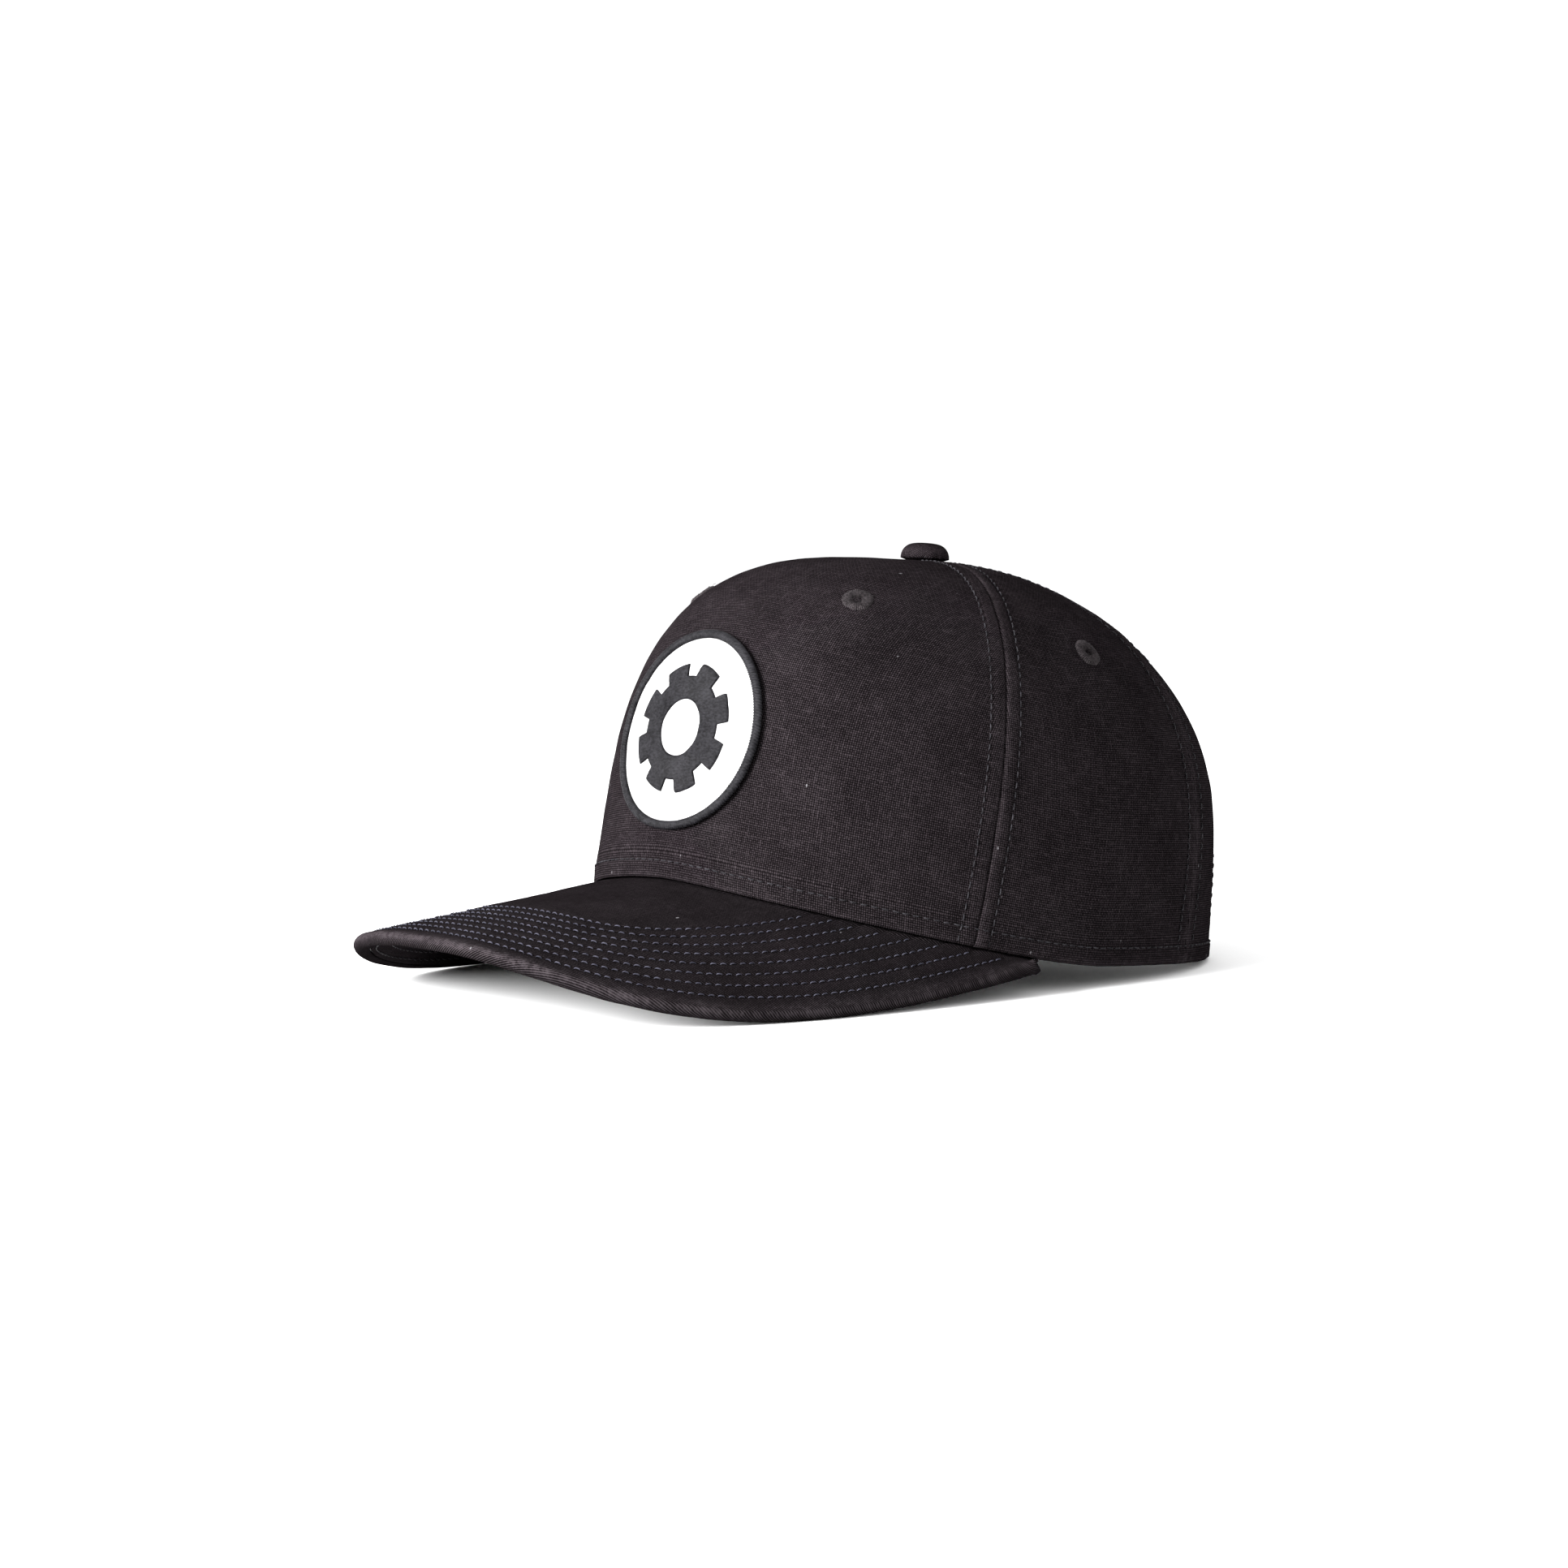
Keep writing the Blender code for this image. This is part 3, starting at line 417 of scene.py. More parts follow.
def cloth(name, dark, light, pitch, style, lint=0.9, depth=0.00012):
    """Woven cloth: 'plain' has crossing threads and 'twill' a diagonal rib, pitch in metres."""
    p = Paint(name, 1.0, specular=0.0)
    uv = p.place("UV")
    u, v = (p.node("SeparateXYZ", uv, out=k) for k in range(2))
    wave_u = p.math("SINE", p.times(u, pi / pitch))
    wave_v = p.math("SINE", p.times(v, pi / pitch))
    if style == "plain":
        cross = p.times(wave_u, wave_v)
        height = p.math("POWER", p.math("ABSOLUTE", cross), 0.6)
        over = p.math("GREATER_THAN", cross, 0.0)
    else:
        diagonal = p.add(u, p.times(v, 1.25))
        rib = p.math("SINE", p.times(diagonal, 2 * pi / (pitch * 2.2)))
        height = p.add(p.times(rib, 0.6), p.times(p.math("ABSOLUTE", wave_v), 0.25))
        over = p.math("GREATER_THAN", rib, 0.1)
    warp = p.noise(p.stretched(uv, (1 / pitch, 200.0, 1.0)), 1.0, 1.0)
    weft = p.noise(p.stretched(uv, (200.0, 1 / pitch, 1.0)), 1.0, 1.0)
    fine = p.noise(uv, 1500.0, 2.0)
    blotch = p.mapped(0.3, 0.7, p.noise(uv, 45.0, 4.0, 0.6), -0.06, 0.14)
    share = p.add(p.mapped(0.50, 0.80, p.math("MAXIMUM", warp, weft), 0.0, 0.34), blotch)
    # Painted light and shade on the weave: threads lying on top are painted lighter, and the colour follows
    # the weave's height, so its hollows are painted darker.
    share = p.add(share, p.times(over, 0.12))
    share = p.add(share, p.mapped(0.0, 1.0, height, -0.42, 0.36))
    share = p.add(share, p.mapped(0.35, 0.75, fine, -0.12, 0.20))
    worn = p.node("Attribute", attribute_name="wear", out=2)
    ragged = p.mapped(0.35, 0.65, p.noise(uv, 420.0, 3.0, 0.7), 0.35, 1.25)
    share = p.add(share, p.times(p.times(worn, ragged), 0.9))
    base = p.mix(p.node("Clamp", share), dark, light)
    fluff = p.texture("Voronoi", p.stretched(uv, (230.0, 150.0, 1.0)), Scale=1.0)
    size = p.mapped(0.86, 1.0, p.node("SeparateXYZ", fluff["Color"]), 0.0, 0.085)
    speck = p.math("LESS_THAN", fluff["Distance"], size)
    p.set(p.mix(p.times(speck, lint * 0.55), base, (0.16, 0.155, 0.165)), "Base Color")
    p.bump(p.add(height, p.times(fine, 0.5)), depth)
    return p.material


def threads(name, dark, light, count=900.0, rough=0.6):
    """Embroidery and sewing thread, with its twist as fine lines."""
    p = Paint(name, rough, specular=0.06)
    where = p.place()
    twist = p.noise(p.stretched(where, (count, count, count * 2.0)), 1.0, 2.0)
    wide = p.mapped(0.3, 0.7, p.noise(where, 160.0), -0.2, 0.3)
    # Painted shade: the colour follows the twist's relief, with ridges painted lighter and grooves darker;
    # the wide noise is the thread's own tone.
    p.shades(p.add(p.mapped(0.3, 0.7, twist, -0.1, 0.8), wide), dark, light)
    p.bump(twist, 0.00012)
    return p.material


def felt(name, dark, light):
    p = Paint(name, 0.95, sheen=0.05, specular=0.15)
    where = p.place()
    fibre = p.noise(p.stretched(where, (1.0, 2.4, 1.4)), 900.0, 4.0, 0.75)
    tuft = p.noise(where, 260.0, 3.0, 0.6)
    # Painted shade: the colour follows the fibre and tuft relief of the bump, so raised fibres are painted
    # lighter and the hollows darker.
    p.shades(p.add(p.mapped(0.3, 0.7, fibre, 0.0, 0.7), p.mapped(0.3, 0.7, tuft, -0.05, 0.35)), dark, light)
    p.bump(p.add(fibre, p.times(tuft, 2.0)), 0.00025)
    return p.material


def moulded(name, dark, light, rough, grain=3200.0, depth=0.00002, metallic=0.0):
    """Moulded plastic or plated metal with a fine grain and faint scuffs."""
    p = Paint(name, rough, metallic=metallic)
    where = p.place()
    wide = p.noise(where, 60.0, 4.0, 0.6)
    scuff = p.noise(p.stretched(where, (30.0, 260.0, 90.0)), 1.0, 3.0, 0.7)
    p.shades(p.add(p.mapped(0.3, 0.7, wide, 0.0, 0.5), p.mapped(0.60, 0.75, scuff, 0.0, 0.4)), dark, light)
    p.set(p.add(p.mapped(0.3, 0.7, wide, -0.06, 0.06), rough), "Roughness")
    p.bump(p.noise(where, grain), depth)
    return p.material


def foam(name, dark, light):
    """Closed-cell foam: small pits over a soft mottled skin."""
    p = Paint(name, 0.9, sheen=0.03, specular=0.2)
    where = p.place()
    cell = p.texture("Voronoi", where, Scale=1400.0)["Distance"]
    wide = p.mapped(0.3, 0.7, p.noise(where, 120.0, 3.0), -0.1, 0.3)
    p.shades(p.add(p.mapped(0.0, 0.7, cell, 0.7, 0.0), wide), dark, light)
    p.bump(p.mapped(0.0, 0.5, cell), 0.00015)
    return p.material


def pile(name, dark, light, scale, depth):
    """Short pile: brushed cotton, or the loops and hooks of fastener tape."""
    p = Paint(name, 0.95, sheen=0.05, specular=0.15)
    where = p.place()
    near = p.texture("Voronoi", where, Scale=scale)["Distance"]
    wide = p.mapped(0.3, 0.7, p.noise(where, 90.0, 3.0), -0.1, 0.3)
    # Painted shade: the raised centres of the tufts are painted lighter and the gaps between them darker,
    # following the bump; the wide noise is the pile's own tone.
    p.shades(p.add(p.mapped(0.0, 0.6, near, 0.7, 0.0), wide), dark, light)
    p.bump(p.mapped(0.0, 0.6, near, 1.0, 0.0), depth)
    return p.material


CANVAS = cloth(
    "crown canvas", (0.0028, 0.0022, 0.0025), (0.0345, 0.0282, 0.0315), 0.00066, "plain", depth=0.00022)
TWILL = cloth("brim twill", (0.0032, 0.0026, 0.0029), (0.0345, 0.0290, 0.0320), 0.00042, "twill", lint=1.0)
LINEN = cloth("buckram", (0.20, 0.19, 0.17), (0.42, 0.40, 0.37), 0.0011, "plain", lint=0.0, depth=0.0003)
TAPE = cloth("seam tape", (0.012, 0.011, 0.012), (0.040, 0.037, 0.040), 0.0005, "twill", lint=0.5)
BAND = pile("sweatband", (0.010, 0.009, 0.010), (0.034, 0.031, 0.034), 1500.0, 0.0002)
THREAD = threads("black thread", (0.0060, 0.0056, 0.0066), (0.027, 0.0255, 0.029))
ROWS = threads("brim thread", (0.013, 0.013, 0.019), (0.050, 0.049, 0.066), rough=0.5)
FUZZ = threads("eyelet thread", (0.007, 0.0060, 0.0065), (0.034, 0.029, 0.031), count=1500.0, rough=0.9)
SATIN = threads("patch thread", (0.0032, 0.0030, 0.0036), (0.0135, 0.0130, 0.0150))
FELT = felt("white felt", (0.24, 0.24, 0.24), (0.345, 0.345, 0.342))
BOARD = moulded("brim board", (0.50, 0.50, 0.48), (0.66, 0.66, 0.64), 0.6)
STEEL = moulded("button steel", (0.42, 0.42, 0.43), (0.60, 0.60, 0.61), 0.35, metallic=1.0)
SNAP = moulded("snap plastic", (0.010, 0.010, 0.011), (0.024, 0.024, 0.026), 0.42)
ABS = moulded("shell abs", (0.016, 0.017, 0.019), (0.032, 0.033, 0.037), 0.75, grain=1800.0, depth=0.00006)
FOAM = foam("foam", (0.030, 0.030, 0.033), (0.085, 0.085, 0.092))
LOOP = pile("loop tape", (0.010, 0.010, 0.011), (0.050, 0.050, 0.054), 1700.0, 0.0004)
HOOK = pile("hook tape", (0.012, 0.012, 0.013), (0.060, 0.060, 0.064), 1100.0, 0.0005)


# ---- Crown -------------------------------------------------------------------------------------
def edge_profile(distance, stitch, doubled=0.00042):
    """Height of the cloth beside a sewn edge: rolled edge, doubled cloth, then a stitched groove."""
    roll, groove = 0.0011, 0.00040
    near = np.clip(1 - distance / roll, 0, 1)
    rolled = -roll * 0.85 * (1 - np.sqrt(np.maximum(1 - near ** 2, 0)))
    folded = doubled * (1 - smooth(stitch - 0.0009, stitch + 0.0012, distance))
    return rolled + folded - groove * bell(distance - stitch, 0.00055)


def puckers(distance, along, stitch, seed):
    """Small gathers that a row of stitches pulls into the cloth on both sides of it."""
    wave = np.cos(2 * pi * along / STITCH_PITCH)
    size = 0.00013 * bell(distance - stitch, 0.0022)
    return size * (wave * 0.7 + noise(along, distance, 0.004, seed) * 1.6)


def arch_distance(x, z):
    """Distance outside the rear arch's outline, negative inside it."""
    high = ARCH_HEIGHT - ARCH_SPRING
    side = np.abs(x) - ARCH_HALF_WIDTH
    rise = np.maximum(z - ARCH_SPRING, 0.0)
    ring = np.hypot(x / ARCH_HALF_WIDTH, rise / high)
    slope = np.hypot(x / ARCH_HALF_WIDTH ** 2, rise / high ** 2) / np.maximum(ring, 1e-6)
    return np.where(z > ARCH_SPRING, (ring - 1) / np.maximum(slope, 1e-6), side)


def panel_grid(low_edge, high_edge, columns, rows):
    """Angles and heights of a panel's cloth, with finer rows and columns along its sewn edges."""
    hem, hem_rows, top_gap, overlap = 0.009, 12, 0.0035, 0.00025
    low, high = low_edge(np.linspace(0, 1, rows)), high_edge(np.linspace(0, 1, rows))
    total = length_at((low + high) / 2)
    low_rows = np.linspace(0, hem, hem_rows, endpoint=False)
    shares = np.concatenate([low_rows, np.linspace(hem, 1, rows - hem_rows)])
    above = hem + (total - top_gap - hem) * (shares - hem) / (1 - hem)
    up = np.where(shares < hem, shares, above) / total
    first, middle = np.linspace(0, 0.05, 8, endpoint=False), np.linspace(0.05, 0.95, columns - 16)
    across = np.concatenate([first, middle, np.linspace(0.95, 1, 9)[1:]])
    # Rows run level with the hem lower down, and all end at one height near the button.
    even = 1 - smooth(0.08, 0.60, up)[:, None]
    level = up[:, None] * np.ones_like(across)[None, :]
    for _ in range(4):
        low, high = low_edge(level[:, 0]), high_edge(level[:, -1])
        margin = turn_for((low + high) / 2, up, -overlap)
        low, high = low + margin, high - margin
        angle = low[:, None] + (high - low)[:, None] * across[None, :]
        level = up[:, None] * (1 + (total[:, None] / length_at(angle) - 1) * even)
    return angle, np.minimum(level, 1 - 0.0030 / length_at(angle))


def trim_to_arch(points, normal, gap, faces):
    """Moves the cloth's first points inside the arch onto its outline, and says which points stay."""
    faces = faces[(gap[faces] > 0).any(axis=1)]
    used = np.zeros(len(points), bool)
    used[faces] = True
    snap = used & (gap < 0)
    slope = 1e-5
    x, z = points[:, 0], points[:, 2]
    gx = (arch_distance(x + slope, z) - arch_distance(x - slope, z)) / (2 * slope)
    gz = (arch_distance(x, z + slope) - arch_distance(x, z - slope)) / (2 * slope)
    size = np.maximum(np.hypot(gx, gz), 1e-6)
    dx, dz = -gap * gx / size ** 2, -gap * gz / size ** 2
    back = np.where(np.abs(normal[:, 1]) < 0.2, 0.2, normal[:, 1])
    dy = -(normal[:, 0] * dx + normal[:, 2] * dz) / back
    points[snap] += np.stack([dx, dy, dz], -1)[snap]
    return (np.cumsum(used) - 1)[faces], used


def panel(name, low_edge, high_edge, grid, seams, seed, loose, cut_arch):
    """One sewn crown panel: seams holds the distances of the stitching from its two side edges."""
    angle, level = panel_grid(low_edge, high_edge, *grid)
    points = crown(angle, level)
    normal = outward(angle, level)
    run, _ = metres(points)
    height = level * length_at(angle)
    to_top = (1 - level) * length_at(angle)
    flat_u = run - run[:, -1:] / 2
    fade = smooth(0.0, 0.010, to_top - 0.004)
    lift = edge_profile(height, HEM_STITCH, doubled=0.00050) + puckers(height, run, HEM_STITCH, seed + 5)
    wear = 0.38 * bell(height - 0.0006, 0.0010) * (0.6 + 0.4 * noise(run, height, 0.004, seed + 21))
    for key, distance, sewn in ((1, run, seams[0]), (2, run[:, -1:] - run, seams[1])):
        lift += edge_profile(distance, sewn) * (0.35 + 0.65 * fade)
        lift += puckers(distance, height, sewn, seed + key) * fade
        wear += 0.30 * bell(distance - 0.0011, 0.0007) + 0.07 * (distance < sewn)
    centre = np.sin(pi * np.clip(run / run[:, -1:], 0, 1)) ** 0.8
    free = loose * centre * smooth(0.01, 0.05, height) * smooth(0.0, 0.05, to_top)
    lift += free * (noise(flat_u, height, 0.034, seed + 11) + 0.5 * noise(flat_u, height, 0.015, seed + 12))
    lift += 0.00010 * noise(flat_u, height, 0.006, seed + 13)
    gap = arch_distance(points[..., 0], points[..., 2])
    if cut_arch:
        lift += edge_profile(np.maximum(gap, 0), ARCH_STITCH) * (gap > -0.002)
        lift += puckers(gap, run + height, ARCH_STITCH, seed + 6)
        wear += 0.3 * bell(gap, 0.0010)
    flat = (points + normal * lift[..., None]).reshape(-1, 3)
    uv = np.stack([flat_u, height], -1).reshape(-1, 2)
    wear = np.clip(wear, 0, 1).ravel()
    faces = grid_faces(*angle.shape)
    if cut_arch:
        faces, used = trim_to_arch(flat, normal.reshape(-1, 3), gap.ravel(), faces)
        flat, uv, wear = flat[used], uv[used], wear[used]
    return thick(mesh_object(name, flat, faces, CANVAS, uv, wear), CANVAS_CLOTH)


def front_edge(up):
    return seam_angle(FRONT_SEAM, up)


def back_edge(up):
    return seam_angle(BACK_SEAM, up)


def straight(value):
    return lambda up: np.full(np.shape(up), value)


def mirrored(edge):
    return lambda up: -edge(up)


SEW, CLOSE = SEAM_STITCH, SEAM_STITCH * 0.9
FRONT_LOOSE, SIDE_LOOSE = 0.00018, 0.00050       # height of the cloth's free waves
for node, low, high, grid, seams, seed in (
        ("front_panel", mirrored(front_edge), front_edge, (190, 130), (SEW, SEW), 100),
        ("side_panel_left", front_edge, back_edge, (90, 130), (CLOSE, SEW), 200),
        ("side_panel_right", mirrored(back_edge), mirrored(front_edge), (90, 130), (SEW, CLOSE), 300),
        ("back_panel_left", back_edge, straight(pi), (100, 140), (SEW, SEW), 400),
        ("back_panel_right", straight(-pi), mirrored(back_edge), (100, 140), (SEW, SEW), 500)):
    loose = FRONT_LOOSE if node == "front_panel" else SIDE_LOOSE
    item = panel(node.replace("panel", "cloth"), low, high, grid, seams, seed, loose, node.startswith("back"))
    settle(item, "cap", "crown_canvas", node)

# Top-stitching of the crown.
crown_rows = []
for side in (1, -1):
    for ends, before, after in ((FRONT_SEAM, SEW, CLOSE), (BACK_SEAM, SEW, SEW)):
        for offset in (-before, after):
            up = np.linspace(0.004, 0.955, 200)
            middle = seam_angle(ends, up)
            angles = side * (middle + turn_for(middle, up, offset))
            crown_rows.append(along_crown(angles, up, 0.00002))
    up = np.linspace(0.40, 0.955, 140)
    crown_rows.append(along_crown(side * (pi - turn_for(pi, up, SEW)), up, 0.00002))
hem_end = back_angle(ARCH_HALF_WIDTH + 0.001)
around = np.linspace(-hem_end, hem_end, 900)
crown_rows.append(along_crown(around, HEM_STITCH / length_at(around), 0.00010))
stitches("crown_stitching", crown_rows, THREAD)


def arch_row(grow, depth, low=0.0):
    """Points and normals along the arch, a distance outside its outline."""
    turn = np.linspace(0, pi, 220)
    x = (ARCH_HALF_WIDTH + grow) * np.cos(turn)
    z = ARCH_SPRING + (ARCH_HEIGHT - ARCH_SPRING + grow) * np.sin(turn)
    legs = np.linspace(low, ARCH_SPRING, 40, endpoint=False)
    x = np.concatenate([np.full(40, ARCH_HALF_WIDTH + grow), x, np.full(40, -ARCH_HALF_WIDTH - grow)])
    z = np.concatenate([legs, z, legs[::-1]])
    angle, up = np.full(len(x), pi), z / float(length_at(pi))
    for _ in range(14):
        points = crown(angle, up)
        up = np.clip(up + (z - points[:, 2]) / float(length_at(pi)), 0, 0.9)
        angle = angle - (x - points[:, 0]) / np.hypot(points[:, 0], points[:, 1])
    return inset(angle, up, np.full(len(angle), depth)), outward(angle, up)


stitches("arch_stitching", [arch_row(ARCH_STITCH, -0.00003, 0.009)], THREAD)


# ---- Lining inside the crown -------------------------------------------------------------------
def strip(name, angle, up, depth, material):
    """A strip of cloth laid on a grid of crown places, facing outward at a depth."""
    return thick(sheet(name, inset(angle, up, np.broadcast_to(depth, angle.shape)), material), LINING_CLOTH)


up = np.linspace(0.062, 0.93, 70)[:, None]
edge = front_edge(up) - turn_for(front_edge(up), up, 0.0062)
lining_angle = edge * np.linspace(-1, 1, 90)[None, :]
settle(strip("front_lining", lining_angle, up + 0 * lining_angle, LINING_DEPTH + 0.0001, LINEN),
       "cap", "buckram", "front_buckram")


def tape(name, node, centre, start):
    """A tape over a seam's inside, from a share of the wall's height; gives its two rows of stitching."""
    up = np.linspace(start, 0.93, 90)[:, None]
    middle = centre(up)
    across = np.linspace(-0.5, 0.5, 11)[None, :]
    angle = middle + turn_for(middle, up, TAPE_WIDTH) * across
    crowned = LINING_DEPTH + 0.00005 + 0.00018 * (1 - (2 * across) ** 4) + 0 * angle
    settle(strip(name, angle, up + 0 * angle, crowned, TAPE), "cap", "seam_tape", node)
    rows = []
    for off in (-TAPE_STITCH, TAPE_STITCH):
        sewn = (middle + turn_for(middle, up, off)).ravel()
        spots = inset(sewn, up.ravel(), np.full(90, LINING_DEPTH + 0.0009))
        rows.append((spots, -outward(middle.ravel(), up.ravel())))
    return rows


tape_rows = []
for word in ("left", "right"):
    for place, edge in (("front", front_edge), ("back", back_edge)):
        centre = edge if word == "left" else mirrored(edge)
        tape_rows += tape(f"tape_{place}_{word}", f"seam_tape_{place}_{word}", centre, 0.055)
tape_rows += tape("tape_rear", "seam_tape_rear", straight(pi), 0.43)
stitches("tape_stitching", tape_rows, THREAD, radius=0.00018)

inner, _ = arch_row(0.0008, LINING_DEPTH + 0.0001, ARCH_SPRING * 0.98)
outer, _ = arch_row(0.0078, LINING_DEPTH + 0.0001, ARCH_SPRING * 0.98)
share = np.linspace(0, 1, 9)[:, None, None]
item = sheet("arch_tape", inner[None] * (1 - share) + outer[None] * share, TAPE)
settle(thick(item, LINING_CLOTH), "cap", "seam_tape", "arch_binding")

# Sweatband: brushed cotton over a thin core, rolled at both edges and stitched.
BAND_LOW, BAND_TALL = 0.0008, 0.0315
end = float(back_angle(ARCH_HALF_WIDTH + 0.0066))
angle = np.linspace(-end, end, 420)[None, :]
face = np.linspace(0, 1, 26) * BAND_TALL + BAND_LOW
puff = 0.00055 * np.sin(pi * np.clip((face - 0.0036) / (BAND_TALL - 0.0066), 0, 1)) ** 0.6
to_edge = np.minimum(face - BAND_LOW, BAND_TALL + BAND_LOW - face)
rolled_edge = 0.0006 * (1 - smooth(0, 0.0016, to_edge))
groove = 0.00035 * (bell(face - 0.0040, 0.0006) + bell(face - BAND_TALL + 0.0030, 0.0006))
ripple = 0.00016 * noise(angle * 0.09 + 0 * face[:, None], face[:, None] + 0 * angle, 0.006, 31)
spread = face[:, None] / length_at(angle)
inner_depth = (SWEATBAND_DEPTH + 0.0009 + puff - rolled_edge * 0.5 - groove)[:, None] + ripple
outer_depth = (SWEATBAND_DEPTH + 0.0001 + rolled_edge)[:, None] + 0 * angle
outer_face = inset(angle + 0 * spread, spread, outer_depth)
inner_face = inset(angle + 0 * spread, spread, inner_depth)
item = sheet("sweatband_cloth", np.concatenate([outer_face, inner_face[::-1], outer_face[:1]]), BAND)
cap_ends = bmesh.new()
cap_ends.from_mesh(item.data)
bmesh.ops.remove_doubles(cap_ends, verts=cap_ends.verts, dist=0.000001)
bmesh.ops.holes_fill(cap_ends, edges=[e for e in cap_ends.edges if e.is_boundary])
cap_ends.to_mesh(item.data)
cap_ends.free()
settle(item, "cap", "sweatband", "sweatband")
band_rows = []
for height in (0.0040, BAND_TALL - 0.0022):
    angles = np.linspace(-end * 0.995, end * 0.995, 700)
    ups = height / length_at(angles)
    band_rows.append((inset(angles, ups, np.full(700, SWEATBAND_DEPTH + 0.00115)), -outward(angles, ups)))
stitches("sweatband_stitching", band_rows, THREAD, radius=0.00020)


# ---- Brim --------------------------------------------------------------------------------------
def brim_lines(across):
    """Inner and outer ends of the brim's lines; across is -1 to 1."""
    inner = crown(across * radians(BRIM_END), 0.0)
    inner = inner - np.array([0, 0, BRIM_DROP])
    turn = across * pi / 2
    size = (np.abs(np.sin(turn)) ** BRIM_PLAN + np.abs(np.cos(turn)) ** BRIM_PLAN) ** (-1 / BRIM_PLAN)
    forward = np.abs(np.cos(turn)) * size
    x = BRIM_HALF_WIDTH * np.sin(turn) * size
    share = np.abs(x / BRIM_HALF_WIDTH) ** BRIM_ARCH_POWER
    side_z = BRIM_END_Z + BRIM_DROOP * forward ** BRIM_DROOP_POWER
    outer = np.stack([x, BRIM_CENTRE_Y - BRIM_REACH * forward, BRIM_TIP_Z * (1 - share) + side_z * share], -1)
    return inner, outer


def brim_frame(across, run):
    """Place and upward normal on the brim's middle surface; run is metres from the hem."""
    inner, outer = brim_lines(across)
    line = outer - inner
    span = np.linalg.norm(line, axis=-1)
    level = unit(inner * np.array([1, 1, 0]))
    share = (run / span)[..., None]
    spot = inner + np.where(share < 0, level * run[..., None], line * share)
    a, b = brim_lines(np.clip(across - 0.01, -1, 1)), brim_lines(np.clip(across + 0.01, -1, 1))
    held = np.clip(share, 0, 1)
    sideways = (a[0] + (a[1] - a[0]) * held) - (b[0] + (b[1] - b[0]) * held)
    tucked, free = unit(np.cross(level, sideways)), unit(np.cross(line, sideways))
    blend = smooth(-0.0010, 0.0014, run)[..., None]
    normal = unit(tucked * (1 - blend) + free * blend)
    return spot, normal * np.where(normal[..., 2:] < 0, -1, 1)


BRIM_FIRST, BRIM_SPACING, BRIM_ROWS = 0.0062, 0.0047, 8
columns = np.linspace(-1, 1, 301)
columns = columns * (1.25 - 0.25 * columns ** 2)
spans = np.linalg.norm(np.subtract(*brim_lines(columns)), axis=-1)
edge_line = brim_lines(np.linspace(-1, 1, 1201))[1]


def edge_distance(points):
    """Distance from the brim's outer edge, over its surface."""
    flat = points.reshape(-1, 3)
    found = np.empty(len(flat))
    for start in range(0, len(flat), 2000):
        part = flat[start:start + 2000]
        found[start:start + 2000] = np.sqrt(((part[:, None] - edge_line[None]) ** 2).sum(-1).min(1))
    return found.reshape(points.shape[:-1])


def brim_cloth(name, node, points, uv, wear=None):
    """One of the brim's two covers; its columns are turned round so that it faces away from the board."""
    item = grid_object(name, points[:, ::-1], TWILL, uv[:, ::-1], None if wear is None else wear[:, ::-1])
    settle(thick(item, BRIM_CLOTH * 0.9), "cap", "brim_twill", node)


edge_run = spans - BRIM_HALF
tuck_rows = np.linspace(-BRIM_TUCK, 0, 13)[:-1, None] + 0 * edge_run[None]
flat_run = np.maximum(edge_run, 0.0004)[None, :] * np.linspace(0, 1, 120)[:, None]
run = np.concatenate([tuck_rows, flat_run])
spot, normal = brim_frame(np.broadcast_to(columns[None, :], run.shape), run)
far = edge_distance(spot)
lift = np.full(run.shape, BRIM_HALF) + 0.0018 * bell(run + 0.0027, 0.0008)
for index in range(BRIM_ROWS):
    at = BRIM_FIRST + BRIM_SPACING * index
    lift -= 0.00030 * bell(far - at, 0.00050)
    lift += 0.00010 * bell(far - at - BRIM_SPACING / 2, 0.0016)
lift += 0.00012 * noise(spot[..., 0], spot[..., 1], 0.010, 61) * smooth(0.0, 0.01, far)
lift += 0.00006 * noise(spot[..., 0], spot[..., 1], 0.0035, 62) * smooth(0.0, 0.01, far)
top = spot + normal * lift[..., None]
flat_uv = np.stack([spot[..., 0], -spot[..., 1]], -1)
# The upper cloth goes on round the edge, and ends in a lip under it.
wrap_angle = np.linspace(0, pi, 15)[1:, None]
edge_spot, edge_normal = brim_frame(columns, edge_run)
ahead = unit(brim_frame(columns, edge_run + 0.0001)[0] - edge_spot)
edge_length = lengths_along(edge_spot)[None, :] + 0 * wrap_angle
bumpy = 1 + 0.05 * noise(edge_length, wrap_angle * 0.002 + 0 * columns[None, :], 0.006, 63)
wrap = ahead[None] * np.sin(wrap_angle)[..., None] + edge_normal[None] * np.cos(wrap_angle)[..., None]
wrap = edge_spot[None] + BRIM_HALF * bumpy[..., None] * wrap
lip_share = np.linspace(0, 1, 5)[1:, None, None]
lip_spot, lip_normal = brim_frame(columns, np.maximum(edge_run - BRIM_LIP, -0.004))
lip = wrap[-1][None] * (1 - lip_share) + (lip_spot - lip_normal * BRIM_HALF)[None] * lip_share
points = np.concatenate([top, wrap, lip])
_, rise = metres(points)
past = rise - rise[len(top) - 1]
beyond = np.maximum(past, 0)
past = past[len(top):]
uv = np.concatenate([flat_uv, flat_uv[-1][None] + np.stack([0 * past, past], -1)])
wear = 0.95 * bell(beyond - 0.0016, 0.0018) * (beyond > 0)
wear[:len(top)] += 0.45 * bell(np.maximum(far - BRIM_HALF, 0), 0.0016)
wear *= 0.75 + 0.35 * noise(points[..., 0], points[..., 1], 0.012, 64)
brim_cloth("brim_top_cloth", "brim_top_cover", points, uv, np.clip(wear, 0, 1))

